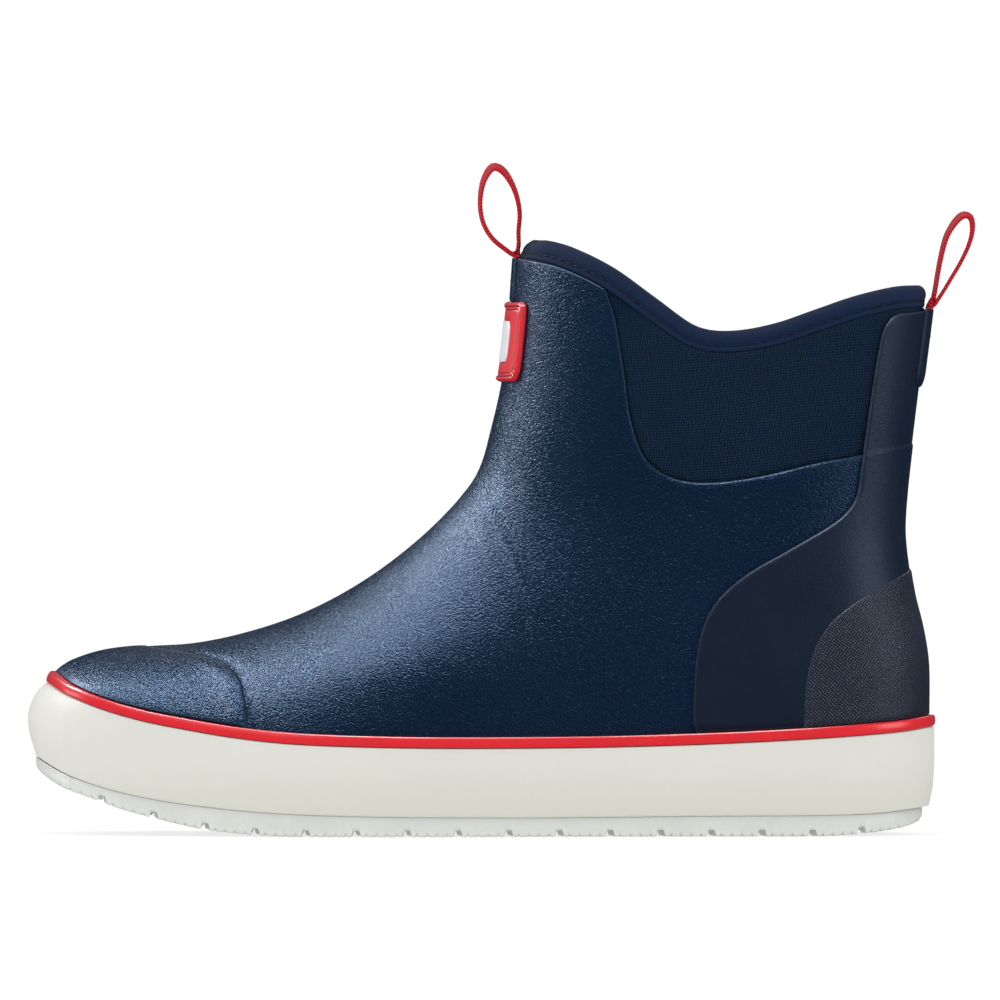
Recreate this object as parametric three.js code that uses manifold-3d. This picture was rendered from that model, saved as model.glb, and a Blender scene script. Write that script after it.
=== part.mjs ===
// Ankle-high rubber deck boot, left foot, in millimetres.
// +Z is up and z = 0 is the ground. The toe points to -X, the outer side of the foot to -Y.
// The upper is one smooth skin: its side view is bounded by the sole line, the front and back profiles
// and the collar, and it swells out to the foot's width between them. Every layer of the upper is that
// skin, lifted or sunk along its normal and trimmed by an outline.
import * as THREE from "three";
import { mergeVertices } from "three/addons/utils/BufferGeometryUtils.js";
import Module from "manifold-3d";

const wasm = await Module();
wasm.setup();

// ---- driving dimensions ----
const RIDGE_STEPS = 12; // columns of the skin that end on the front profile
const COLLAR_STEPS = 11; // columns that end on the collar
const RISE_STEPS = 7; // rows from the sole line up
const GAP = 0.3; // between pieces that touch
const SLACK = 0.6; // the same where both pieces are sharply curved
const RUBBER = 2.0; // vamp and quarter sheet
const LINING = 3.0; // bootie under the sheet
const OVERLAY = 1.2; // toe cap, back counter and heel patch
const SKIRT_DROP = 13; // lasting margin hidden behind the sidewall
const BOARD = 1.7;
const FOOTBED = 4;
const FOOTBED_COVER = 0.9;
const STRIPE_HEIGHT = 3.6;
const COLLAR_HEIGHT = 7.3;
const GROOVE_PITCH = 16.74;
const GROOVE_WIDTH = 2.7;
const GROOVE_DEPTH = 2.7;
const GROOVE_COUNT = 16;
const GROOVE_WAVE = 1.0; // how far each groove swings fore and aft
const FIRST_GROOVE_X = -125.6;
const FAR = 100; // past every side of the boot

// ---- small curve helpers ----
const mix = (a, b, t) => a + (b - a) * t;
const clamp01 = (t) => Math.min(Math.max(t, 0), 1);
const smooth = (a, b, x) => {
  const t = clamp01((x - a) / (b - a));
  return t * t * (3 - 2 * t);
};

// A smooth function through [station, value] knots: cubic Hermite spans, each knot sloped by its neighbours.
function through(knots) {
  const last = knots.length - 1;
  const slopes = knots.map((_, i) => {
    const [x0, y0] = knots[Math.max(i - 1, 0)];
    const [x1, y1] = knots[Math.min(i + 1, last)];
    return (y1 - y0) / (x1 - x0);
  });
  return (x) => {
    let i = 0;
    while (i < last - 1 && x > knots[i + 1][0]) i++;
    const [xa, ya] = knots[i];
    const [xb, yb] = knots[i + 1];
    const h = xb - xa;
    const t = clamp01((x - xa) / h);
    const t2 = t * t;
    const t3 = t2 * t;
    return (2 * t3 - 3 * t2 + 1) * ya + (t3 - 2 * t2 + t) * h * slopes[i]
      + (3 * t2 - 2 * t3) * yb + (t3 - t2) * h * slopes[i + 1];
  };
}

// A smooth [x, z] curve through points, its parameter 0 to 1 by chord length.
function profile(points) {
  const lengths = [0];
  for (let i = 1; i < points.length; i++) {
    const [x0, z0] = points[i - 1];
    const [x1, z1] = points[i];
    lengths.push(lengths[i - 1] + Math.hypot(x1 - x0, z1 - z0));
  }
  const total = lengths[lengths.length - 1];
  const x = through(points.map((p, i) => [lengths[i] / total, p[0]]));
  const z = through(points.map((p, i) => [lengths[i] / total, p[1]]));
  return (t) => [x(t), z(t)];
}

// ---- the boot's lines, seen from the side as [x, z] ----
const frontProfile = profile([
  [-141.5, 54.3], [-136.3, 57.5], [-126, 60.8], [-112, 62.5], [-96, 63.6], [-80, 66.8], [-62, 72.6],
  [-45.2, 80.8], [-29, 91.6], [-13, 105.6], [-1.6, 119.7], [3.7, 136.7], [7.2, 153], [9.5, 172], [11, 192],
]);
const backProfile = profile([
  [147.4, 39.8], [147.3, 56.7], [145.6, 68], [142.6, 80], [140.6, 92], [139.8, 101],
  [140.4, 112], [142.2, 128], [144.8, 148.7], [148.2, 175.3],
]);
// Where the upper leaves the sole: the top of the stripe.
const soleLine = through([
  [-141.5, 54.3], [-134.5, 49.9], [-124, 45.4], [-111, 41.7], [-98, 39.2], [-80, 36.3], [-60, 34.3],
  [-27, 33.2], [6, 33], [40, 33.3], [73, 34.2], [106, 35.8], [135, 38], [147.4, 39.8],
]);
const collarLine = through([
  [11, 192], [18, 190.7], [26.3, 188.4], [39.7, 182], [53, 172.7], [66.3, 163.3], [75, 160.4],
  [86.3, 160.3], [99.7, 162.9], [113, 167.3], [126.3, 171.6], [139.7, 174.6], [148.2, 175.3],
]);
// Joint between the sidewall and the tread, and the tread's ground side.
const partingLine = through([
  [-149, 26], [-136.7, 19.7], [-117.7, 14], [-93.7, 10], [-60.3, 7.3], [6.3, 6.3], [73, 6.7],
  [127, 7.3], [151, 9.6],
]);
const rocker = through([
  [-149, 22.4], [-146, 20], [-139, 15.9], [-129.3, 12.4], [-117.7, 8.4], [-102, 4.4], [-91, 2.2],
  [-76, 0.6], [-62, 0], [110, 0], [127, 0.9], [140, 2.7], [148, 5.2],
]);
const groundLine = (x) => Math.max(0, rocker(x));

// ---- the boot's widths ----
// The foot bends inwards: its middle line in plan.
const middleLine = through([[-141.5, 8], [-100, 5.5], [-50, 1], [0, -1], [60, 0], [148.2, 0]]);
const outerWidth = through([
  [-141.5, 45], [-100, 46], [-60, 49.5], [-30, 49], [10, 44], [50, 39.5], [90, 37.5], [148.2, 37],
]);
const innerWidth = through([
  [-141.5, 42], [-100, 45], [-70, 48], [-40, 45.5], [0, 38.5], [35, 35.5], [70, 36], [110, 37], [148.2, 37],
]);
const shaftWidth = through([[60, 36.5], [90, 36.5], [120, 36.5], [150, 38], [192, 39.5]]);
const FRONT_ROUNDING = 62; // how far in from the front profile the skin reaches its full width
const BACK_ROUNDING = 56;

// Signed distance from a profile in the side view, positive on the given side of it.
function distanceFrom(curve, count, insideSign) {
  const line = Array.from({ length: count + 1 }, (_, i) => curve(i / count));
  return (x, z) => {
    let best = Infinity;
    let sign = 1;
    for (let i = 0; i < count; i++) {
      const [ax, az] = line[i];
      const dx = line[i + 1][0] - ax;
      const dz = line[i + 1][1] - az;
      const t = clamp01(((x - ax) * dx + (z - az) * dz) / (dx * dx + dz * dz));
      const gap = (x - ax - t * dx) ** 2 + (z - az - t * dz) ** 2;
      if (gap < best - 1e-9) {
        best = gap;
        sign = Math.sign(dx * (z - az) - dz * (x - ax)) || 1;
      }
    }
    return Math.sqrt(best) * sign * insideSign;
  };
}
const behindFront = distanceFrom(frontProfile, 160, -1);
const beforeBack = distanceFrom(backProfile, 100, 1);
const swell = (distance, rounding) => 1 - (1 - Math.min(distance / rounding, 1)) ** 3;
const swelling = (x, z) => swell(behindFront(x, z), FRONT_ROUNDING) * swell(beforeBack(x, z), BACK_ROUNDING);
const fullWidth = (x, z, inner) => mix((inner ? innerWidth : outerWidth)(x), shaftWidth(z), smooth(50, 110, z));

// Zero on the skin and positive outside it.
function outside(x, y, z) {
  const across = y - middleLine(x);
  return (across / fullWidth(x, z, across > 0)) ** 2 - swelling(x, z);
}

const PROBE = 0.05;
function outward(x, y, z, level) {
  const slope = (dx, dy, dz) => outside(x + dx, y + dy, z + dz) - outside(x - dx, y - dy, z - dz);
  const rise = level ? 0 : slope(0, 0, PROBE);
  return new THREE.Vector3(slope(PROBE, 0, 0), slope(0, PROBE, 0), rise).normalize();
}

// A point of the skin over [x, z] of the side view, with the direction out of the boot there.
// side is -1 for the outer side, +1 for the inner side and 0 on the front and back profiles.
function skinPoint([x, z], side, level = false) {
  const reach = side ? fullWidth(x, z, side > 0) * Math.sqrt(Math.max(swelling(x, z), 0)) : 0;
  const y = middleLine(x) + side * reach;
  return { at: new THREE.Vector3(x, y, z), normal: outward(x, y, z, level) };
}

// The skin's columns run from the sole line to the front profile or, behind it, to the collar.
const COLUMNS = RIDGE_STEPS + COLLAR_STEPS;
const ridgeStation = (i) => (i / RIDGE_STEPS) ** 1.7;
const ridgeFoot = through([
  [0, -141.5], [0.012, -140.6], [0.04, -136.5], [0.085, -128], [0.14, -116], [0.21, -99], [0.29, -80],
  [0.38, -58], [0.48, -36], [0.58, -18], [0.68, -4], [0.78, 7], [0.88, 16], [1, 24],
]);
const collarStation = (i) => (i - RIDGE_STEPS) / COLLAR_STEPS;
const [TOE_X, HEEL_X] = [frontProfile(0)[0], backProfile(0)[0]];
const [COLLAR_FRONT_X, COLLAR_BACK_X] = [frontProfile(1)[0], backProfile(1)[0]];

function columnFoot(i) {
  if (i === 0) return [TOE_X, frontProfile(0)[1]];
  const x = i <= RIDGE_STEPS
    ? ridgeFoot(ridgeStation(i)) : mix(ridgeFoot(1), HEEL_X, Math.sin((collarStation(i) * Math.PI) / 2));
  return [x, soleLine(x)];
}

function collarPoint(u) {
  const x = mix(COLLAR_FRONT_X, COLLAR_BACK_X, (1 - Math.cos(u * Math.PI)) / 2);
  return [x, collarLine(x)];
}

// A place in the side view: column i, and v from the sole line (0) to the top (1).
function sidePlace(i, v) {
  const foot = columnFoot(i);
  const ridge = i <= RIDGE_STEPS;
  const head = ridge ? frontProfile(ridgeStation(i)) : collarPoint(collarStation(i));
  const back = backProfile(v);
  const pull = ridge ? 0 : collarStation(i) ** 2; // the rear columns follow the back profile
  return [0, 1].map((k) => mix(foot[k], head[k], v)
    + pull * (back[k] - mix(backProfile(0)[k], backProfile(1)[k], v)));
}

const onRidge = (i, row) => i === 0 || i === COLUMNS || (row === RISE_STEPS && i <= RIDGE_STEPS);
const skinGrid = [-1, 1].map((side) => Array.from({ length: COLUMNS + 1 }, (_, i) => {
  const crowding = mix(1.8, 1, smooth(0, 0.5, collarStation(i))); // rows gather towards the front profile
  return Array.from({ length: RISE_STEPS + 1 }, (_, row) => {
    const v = 1 - (1 - row / RISE_STEPS) ** crowding;
    return skinPoint(sidePlace(i, v), onRidge(i, row) ? 0 : side, row === 0 || i === 0);
  });
}));
const sidesOf = (side) => skinGrid[side < 0 ? 0 : 1];

// ---- solids ----
function solidFrom(geometry) {
  const plain = geometry.index ? geometry.toNonIndexed() : geometry.clone();
  plain.deleteAttribute("normal");
  plain.deleteAttribute("uv");
  const merged = mergeVertices(plain, 1e-4);
  return new wasm.Manifold(new wasm.Mesh({
    numProp: 3,
    vertProperties: merged.attributes.position.array,
    triVerts: new Uint32Array(merged.index.array),
  }));
}

function geometryFrom(solid) {
  const { vertProperties, triVerts } = solid.getMesh();
  const geometry = new THREE.BufferGeometry()
    .setAttribute("position", new THREE.BufferAttribute(vertProperties, 3))
    .setIndex(new THREE.BufferAttribute(triVerts, 1));
  geometry.computeVertexNormals();
  return geometry;
}

// A solid from the four-cornered faces of its surface. Corners that meet are one corner.
function solidFromFaces(faces) {
  const corners = [];
  const known = new Map();
  const cornerOf = (p) => {
    const key = p.toArray().map((c) => (Math.round(c * 1e4) || 0)).join();
    if (!known.has(key)) known.set(key, corners.push(p) - 1);
    return known.get(key);
  };
  const triangles = faces.map((face) => face.map(cornerOf))
    .flatMap(([a, b, c, d]) => [[a, b, c], [a, c, d]])
    .filter(([a, b, c]) => a !== b && b !== c && a !== c);
  return new wasm.Manifold(new wasm.Mesh({
    numProp: 3,
    vertProperties: new Float32Array(corners.flatMap((p) => p.toArray())),
    triVerts: new Uint32Array(triangles.flat()),
  }));
}

// A closed ring of closed sections, each joined to the next and the last to the first.
function joinSections(sections) {
  const count = sections[0].length;
  return solidFromFaces(sections.flatMap((section, i) => {
    const next = sections[(i + 1) % sections.length];
    return section.map((p, k) => [p, next[k], next[(k + 1) % count], section[(k + 1) % count]]);
  }));
}

// Columns round the boot: back along the outer side, then forward along the inner side.
const roundTheSole = [
  ...sidesOf(-1).slice(0, COLUMNS).map((column) => column[0]),
  ...sidesOf(1).slice(1).reverse().map((column) => column[0]),
];
const soleRing = (section) => joinSections(roundTheSole.map(({ at, normal }) => section(normal, at.x)
  .map(([out, z]) => at.clone().addScaledVector(normal, out).setZ(z))));

// The inner layers thin out towards the sharply curved tip of the toe.
const thinning = (x, lift) => (lift < 0 ? mix(0.3, 1, smooth(TOE_X, TOE_X + 20, x)) : 1);

// The skin as a sheet between two lifts, from the bottom of its skirt to the collar.
function sheet(low, high, skirt = 1) {
  const lifted = (column, lift) => {
    const rows = column.map(
      ({ at, normal }) => at.clone().addScaledVector(normal, lift * thinning(at.x, lift)),
    );
    return [rows[0].clone().setZ(rows[0].z - skirt * SKIRT_DROP), ...rows];
  };
  const faces = [];
  const addFace = (flip, [a, b, c, d]) => faces.push(flip ? [a, d, c, b] : [a, b, c, d]);
  for (const side of [-1, 1]) {
    const skins = [low, high].map((lift) => sidesOf(side).map((column) => lifted(column, lift)));
    skins.forEach((skin, layer) => {
      for (let i = 0; i < COLUMNS; i++) {
        for (let row = 0; row <= RISE_STEPS; row++) {
          const corners = [skin[i][row], skin[i + 1][row], skin[i + 1][row + 1], skin[i][row + 1]];
          addFace((side > 0) !== (layer === 0), corners);
        }
      }
    });
    const [under, over] = skins;
    const top = RISE_STEPS + 1;
    for (let i = 0; i < COLUMNS; i++) {
      addFace(side > 0, [under[i][0], under[i + 1][0], over[i + 1][0], over[i][0]]);
      if (i < RIDGE_STEPS) continue;
      addFace(side > 0, [over[i][top], over[i + 1][top], under[i + 1][top], under[i][top]]);
    }
  }
  return solidFromFaces(faces);
}

// A plate with the sole's plan. reach(normal) sets its rim out from the skin; heights follow x.
const PLATE_STEPS = 1; // spans across the boot
function plate(topReach, bottomReach, topHeight, bottomHeight) {
  const surface = (reach, height) => Array.from({ length: COLUMNS + 1 }, (_, i) => {
    const [outer, inner] = [-1, 1].map((side) => sidesOf(side)[i][0]).map(
      ({ at, normal }) => at.clone().addScaledVector(normal, reach(normal)),
    );
    return Array.from({ length: PLATE_STEPS + 1 }, (_, k) => {
      const place = outer.clone().lerp(inner, k / PLATE_STEPS);
      return place.setZ(height(place.x));
    });
  });
  const top = surface(topReach, topHeight);
  const low = surface(bottomReach, bottomHeight);
  const faces = [];
  for (let i = 0; i < COLUMNS; i++) {
    for (let k = 0; k < PLATE_STEPS; k++) {
      faces.push([top[i][k], top[i + 1][k], top[i + 1][k + 1], top[i][k + 1]]);
      faces.push([low[i][k], low[i][k + 1], low[i + 1][k + 1], low[i + 1][k]]);
    }
    faces.push([low[i][0], low[i + 1][0], top[i + 1][0], top[i][0]]);
    faces.push([low[i + 1][PLATE_STEPS], low[i][PLATE_STEPS], top[i][PLATE_STEPS], top[i + 1][PLATE_STEPS]]);
  }
  return solidFromFaces(faces);
}

// An outline through points as a closed shape: "spline" runs are smooth, the others straight.
function outline(start, ...runs) {
  const shape = new THREE.Shape();
  shape.moveTo(...start);
  for (const { spline, lines } of runs) {
    if (spline) shape.splineThru(spline.map((p) => new THREE.Vector2(...p)));
    for (const p of lines ?? []) shape.lineTo(...p);
  }
  return shape;
}

function roundedRectangle(left, bottom, right, top, radius) {
  const shape = new THREE.Shape();
  shape.moveTo(left + radius, bottom);
  shape.lineTo(right - radius, bottom).absarc(right - radius, bottom + radius, radius, -Math.PI / 2, 0);
  shape.lineTo(right, top - radius).absarc(right - radius, top - radius, radius, 0, Math.PI / 2);
  shape.lineTo(left + radius, top).absarc(left + radius, top - radius, radius, Math.PI / 2, Math.PI);
  shape.lineTo(left, bottom + radius).absarc(left + radius, bottom + radius, radius, Math.PI, Math.PI * 1.5);
  return shape;
}

// A prism from a side outline [x, z], from y = near to y = far.
function sidePrism(shape, near = -FAR, far = FAR, curveSegments = 1) {
  const geometry = new THREE.ExtrudeGeometry(shape, { depth: far - near, bevelEnabled: false, curveSegments });
  return solidFrom(geometry.rotateX(Math.PI / 2).translate(0, far, 0));
}

// A prism from a front outline [y, z], from x = near to x = far.
function frontPrism(shape, near, far) {
  const geometry = new THREE.ExtrudeGeometry(
    shape, { depth: far - near, bevelEnabled: false, curveSegments: 2 },
  );
  return solidFrom(geometry.rotateX(Math.PI / 2).rotateZ(Math.PI / 2).translate(near, 0, 0));
}

// A prism from a plan outline [x, y], from z = low to z = high.
function planPrism(shape, low, high) {
  const geometry = new THREE.ExtrudeGeometry(
    shape, { depth: high - low, bevelEnabled: false, curveSegments: 3 },
  );
  return solidFrom(geometry.translate(0, 0, low));
}

// ---- panel outlines, seen from the side ----
// The rubber ends here: down the front edge of the neoprene panel, along its bottom and under the counter.
const RUBBER_EDGE = [
  [41, 182], [44.3, 172], [47.3, 155], [50, 137], [55, 124.5], [64, 118.6], [76, 117.2], [93, 119.4],
  [110, 123.3], [126, 126.2], [143, 130],
];
const neopreneWindow = outline(
  [36.5, 196], { lines: [RUBBER_EDGE[0]] }, { spline: RUBBER_EDGE.slice(1) },
  { lines: [[FAR * 1.8, 131], [FAR * 1.8, 230], [36.5, 230]] },
);
// Front edge of the back counter, from the sole line up to its rounded top corner.
const COUNTER_EDGE = [
  [70.2, 34], [70.6, 50], [72.5, 66], [77.5, 77], [87, 86], [104, 96], [118.5, 105], [124, 112],
  [125.8, 122], [128.5, 141], [131.5, 160], [133.6, 168.5], [137.2, 172.6], [143, 173.6],
];
const counterArea = outline(
  [70.2, 0], { lines: [COUNTER_EDGE[0]] }, { spline: COUNTER_EDGE.slice(1) },
  { lines: [[FAR * 1.8, 174.2], [FAR * 1.8, 0]] },
);
const PATCH_EDGE = [
  [106.6, 36], [107.2, 48], [109.5, 60], [114.5, 69.5], [122.5, 76.5], [133, 83], [145, 90],
];
const heelPatchArea = outline(
  [106.4, 0], { lines: [PATCH_EDGE[0]] }, { spline: PATCH_EDGE.slice(1) },
  { lines: [[FAR * 1.8, 92], [FAR * 1.8, 0]] },
);
const TOE_CAP_EDGE = [
  [-76.6, 35], [-78, 45], [-80.5, 53], [-87, 57.6], [-98, 60.4], [-112, 62.6], [-122, 66],
];
const toeCapArea = outline(
  [-76.4, 0], { lines: [TOE_CAP_EDGE[0]] }, { spline: TOE_CAP_EDGE.slice(1) },
  { lines: [[-FAR * 1.8, 66], [-FAR * 1.8, 0]] },
);
// The vamp meets the heel quarter under the counter.
const quarterArea = outline([86, 0], { lines: [[86, 76], [134, 114], [FAR * 1.8, 150], [FAR * 1.8, 0]] });
const quarterJoint = outline(
  [86 - GAP, -10], { lines: [[86 - GAP, 76.2], [134 - GAP, 114.2], [FAR * 1.8, 150.4], [FAR * 1.8, -10]] },
);
const heelStiffenerArea = (slack) => outline([80 - slack, 0], {
  lines: [[80 - slack, 44], [100 - slack, 78 + slack], [FAR * 1.8, 84 + slack], [FAR * 1.8, 0]],
});
const toePuffArea = (slack) => outline([-106 + slack, 0], {
  lines: [[-106 + slack, 48], [-114, 72 + slack], [-130 - slack, 72 + slack], [-130 - slack, 0]],
});
const aboveSoleLine = outline(
  [-FAR * 1.8, 54.9], { lines: [[-141.5, 54.9]] },
  { lines: Array.from({ length: 12 }, (_, i) => mix(-134, 147.4, i / 11)).map((x) => [x, soleLine(x) + 0.5]) },
  { lines: [[FAR * 1.8, 40.3], [FAR * 1.8, 260], [-FAR * 1.8, 260]] },
);

// ---- layers of the upper ----
const SHEET_LOW = -RUBBER;
const LINING_HIGH = SHEET_LOW - GAP;
const LINING_LOW = LINING_HIGH - LINING;
const STIFFENER = 1.0; // heel stiffener and toe puff, let into the lining
const PANEL_HIGH = -0.6; // the neoprene panel sits a little below the rubber
const SECOND_LAYER = OVERLAY + 2 * GAP; // the heel patch lies on the counter

const rubberSheet = sheet(SHEET_LOW, 0);
const firstOverlay = sheet(GAP, GAP + OVERLAY).intersect(sidePrism(aboveSoleLine));
const secondOverlay = sheet(SECOND_LAYER, SECOND_LAYER + OVERLAY).intersect(sidePrism(aboveSoleLine));
const windowPrism = sidePrism(neopreneWindow);
const quarterPrism = sidePrism(quarterArea);

// Webbing tails, sewn in at the top of the upper, front and rear.
const TAIL_WIDTH = 11;
const TAIL_DEPTH = 9;
const FRONT_TAIL_TOP = 191.6;
const REAR_TAIL_TOP = 174.4;
const tailShape = (top, slack) => roundedRectangle(
  -TAIL_WIDTH / 2 - slack, top - TAIL_DEPTH - slack, TAIL_WIDTH / 2 + slack, top + slack * FAR, 0.4,
);
const frontNotch = frontPrism(tailShape(FRONT_TAIL_TOP, GAP), -20, 40);
const rearNotch = frontPrism(tailShape(REAR_TAIL_TOP, GAP), 120, 170);

const vamp = rubberSheet.subtract(windowPrism).subtract(sidePrism(quarterJoint)).subtract(frontNotch);
const heelQuarter = rubberSheet.subtract(windowPrism).intersect(quarterPrism);
const neoprenePanel = sheet(SHEET_LOW, PANEL_HIGH).intersect(sidePrism(outline(
  [37.2, 196], { lines: [[RUBBER_EDGE[0][0] + GAP, RUBBER_EDGE[0][1] + GAP]] },
  { spline: RUBBER_EDGE.slice(1).map(([x, z]) => [x + GAP, z + GAP]) },
  { lines: [[FAR * 1.8, 131.4], [FAR * 1.8, 230], [37.2, 230]] },
)));
const counterPrism = sidePrism(counterArea);
const counter = firstOverlay.intersect(counterPrism).subtract(rearNotch);
const heelPatch = secondOverlay.intersect(sidePrism(heelPatchArea));
const toeCap = firstOverlay.intersect(sidePrism(toeCapArea));

const stiffenerSheet = sheet(LINING_HIGH - STIFFENER, LINING_HIGH - 0.1);
const stiffenerPocket = sheet(LINING_LOW + 0.4, LINING_HIGH + RUBBER, 1.2);
const heelStiffener = stiffenerSheet.intersect(sidePrism(heelStiffenerArea(0)));
const toePuff = stiffenerSheet.intersect(sidePrism(toePuffArea(0)));
const lining = sheet(LINING_LOW, LINING_HIGH)
  .subtract(stiffenerPocket.intersect(sidePrism(heelStiffenerArea(GAP))))
  .subtract(stiffenerPocket.intersect(sidePrism(toePuffArea(GAP))));

// ---- collar ----
const COLLAR_LOW = LINING_LOW - 0.5;
const COLLAR_SEAT = 0.9; // height of the binding's lower edge above the upper's edge
// The binding sits back at the front of the boot, behind the pull loop.
const collarOut = (normal) => mix(-0.6, -3.1, smooth(0.72, 0.98, -normal.x));
const COLLAR_PROBE = 0.003;
const onCollar = (turn) => {
  const u = turn <= 1 ? turn : 2 - turn;
  const side = turn === 0 || turn === 1 ? 0 : Math.sign(turn - 1);
  return skinPoint(collarPoint(u), side);
};
// turn runs round the collar: 0 at the front, 1 at the back, 2 at the front again.
function collarRing(section) {
  const sections = Array.from({ length: 2 * COLLAR_STEPS }, (_, i) => {
    const turn = i / COLLAR_STEPS;
    const { at, normal } = onCollar(turn);
    const before = onCollar((turn - COLLAR_PROBE + 2) % 2).at;
    const along = onCollar(turn + COLLAR_PROBE).at.sub(before);
    const up = normal.clone().cross(along).normalize();
    if (up.z < 0) up.negate();
    return section(normal).map(
      ([out, rise]) => at.clone().addScaledVector(normal, out).addScaledVector(up, rise),
    );
  });
  return joinSections(sections);
}
const binding = collarRing((normal) => {
  const out = collarOut(normal);
  const top = COLLAR_HEIGHT;
  return [
    [COLLAR_LOW, COLLAR_SEAT], [out, COLLAR_SEAT], [out, top - 2.2], [out - 1.0, top - 0.6],
    [mix(out, COLLAR_LOW, 0.5), top],
    [COLLAR_LOW + 1.0, top - 0.6], [COLLAR_LOW, top - 2.2],
  ];
});
const THREAD = 0.45; // thread radius
const STITCH_RISE = 2.2;
const collarThread = collarRing((normal) => {
  const out = collarOut(normal) + THREAD + GAP + 0.1;
  return [0, 1, 2, 3, 4].map((k) => {
    const turn = (k / 5) * 2 * Math.PI;
    return [out + THREAD * Math.cos(turn), STITCH_RISE + THREAD * Math.sin(turn)];
  });
});

// ---- badge and anchor tabs, outlined from the front as [y, z] ----
const BADGE_HALF_WIDTH = 19;
const BADGE_BOTTOM = 150.6;
const BADGE_TOP = 177;
const INLAY_HALF_WIDTH = 11.8;
const INLAY_BOTTOM = 157;
const INLAY_TOP = 170.7;
const RIM = 2.2;
const badgeShape = (inset, radius) => roundedRectangle(
  -BADGE_HALF_WIDTH + inset, BADGE_BOTTOM + inset, BADGE_HALF_WIDTH - inset, BADGE_TOP - inset, radius,
);
const inlayShape = (slack) => roundedRectangle(
  -INLAY_HALF_WIDTH - slack, INLAY_BOTTOM - slack, INLAY_HALF_WIDTH + slack, INLAY_TOP + slack, 1.5,
);
const atFront = (shape) => frontPrism(shape, -20, 40);
const BADGE_FACE = 1.7;
const BADGE_RIM_HEIGHT = 2.2;
const INLAY_SEAT = 1.0;
const INLAY_FACE = 2.0;
const badgeRim = sheet(BADGE_FACE - 0.5, BADGE_RIM_HEIGHT)
  .intersect(atFront(badgeShape(0, 2.4)).subtract(atFront(badgeShape(RIM, 1.2))));
const badge = sheet(GAP, BADGE_FACE).intersect(atFront(badgeShape(0, 2.4))).add(badgeRim)
  .subtract(sheet(INLAY_SEAT, BADGE_RIM_HEIGHT + 1).intersect(atFront(inlayShape(GAP))));
const badgeInlay = sheet(INLAY_SEAT + GAP, INLAY_FACE).intersect(atFront(inlayShape(0)));

const TAB_HALF_WIDTH = 9.5;
const FRONT_TAB_HIGH = 1.3;
const REAR_TAB = 1.5; // its thickness
const TACK_HEIGHT = 0.4;
const frontTab = sheet(GAP, FRONT_TAB_HIGH).intersect(atFront(
  roundedRectangle(-TAB_HALF_WIDTH, BADGE_TOP + GAP, TAB_HALF_WIDTH, 230, 0.5),
));
const REAR_TAB_BOTTOM = 149;
const atRear = (shape) => frontPrism(shape, 120, 170);
const rearTab = sheet(SECOND_LAYER, SECOND_LAYER + REAR_TAB).intersect(atRear(
  roundedRectangle(-TAB_HALF_WIDTH, REAR_TAB_BOTTOM, TAB_HALF_WIDTH, 230, 3),
));
const frontTail = sheet(SHEET_LOW + GAP, 0).intersect(atFront(
  roundedRectangle(-TAIL_WIDTH / 2, FRONT_TAIL_TOP - TAIL_DEPTH, TAIL_WIDTH / 2, 230, 0.4),
));
const rearTail = sheet(GAP, GAP + OVERLAY).intersect(atRear(
  roundedRectangle(-TAIL_WIDTH / 2, REAR_TAIL_TOP - TAIL_DEPTH, TAIL_WIDTH / 2, 230, 0.4),
));
const BARTACK_HALF_WIDTH = 6;
const frontBartack = sheet(FRONT_TAB_HIGH + GAP, FRONT_TAB_HIGH + GAP + TACK_HEIGHT).intersect(atFront(
  roundedRectangle(-BARTACK_HALF_WIDTH, 183.5, BARTACK_HALF_WIDTH, 185, 0.3),
));
const REAR_TACK_LOW = SECOND_LAYER + REAR_TAB + GAP;
const rearBartack = sheet(REAR_TACK_LOW, REAR_TACK_LOW + TACK_HEIGHT).intersect(atRear(
  roundedRectangle(-BARTACK_HALF_WIDTH, 165.5, BARTACK_HALF_WIDTH, 167, 0.3),
));

// ---- pull loops: webbing bent into a teardrop, standing on its sewn ends ----
const WEBBING = 1.3;
const WEBBING_WIDTH = 12;
const FRONT_LOOP = [
  [10.9, 193.2], [7.3, 195.4], [3.7, 198.6], [1.0, 203], [-0.2, 208], [-0.1, 213.5], [1.2, 218.6],
  [3.9, 222.2], [7.1, 221.2], [10, 217.2], [12, 212.2], [12.9, 206.6], [12.4, 200.8], [12, 196],
];
const REAR_LOOP = [
  [151.3, 176.6], [151.9, 183], [153, 191], [154.9, 198.5], [157.6, 203.4], [160.6, 206.2], [163.2, 205.4],
  [163.8, 201.4], [162.6, 196.4], [160, 190.8], [156.8, 185], [153.8, 179.6],
];
const LOOP_STEPS = 30;
function webbingLoop(points) {
  const centreLine = new THREE.CatmullRomCurve3(points.map(([x, z]) => new THREE.Vector3(x, 0, z)), true);
  const sections = Array.from({ length: LOOP_STEPS }, (_, i) => {
    const centre = centreLine.getPoint(i / LOOP_STEPS);
    const along = centreLine.getTangent(i / LOOP_STEPS);
    const out = new THREE.Vector3(-along.z, 0, along.x).multiplyScalar(WEBBING / 2);
    const [front, back] = [centre.clone().add(out), centre.clone().sub(out)];
    const half = new THREE.Vector3(0, WEBBING_WIDTH / 2, 0);
    return [front.clone().add(half), back.clone().add(half), back.sub(half), front.sub(half)];
  });
  return joinSections(sections);
}

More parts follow.
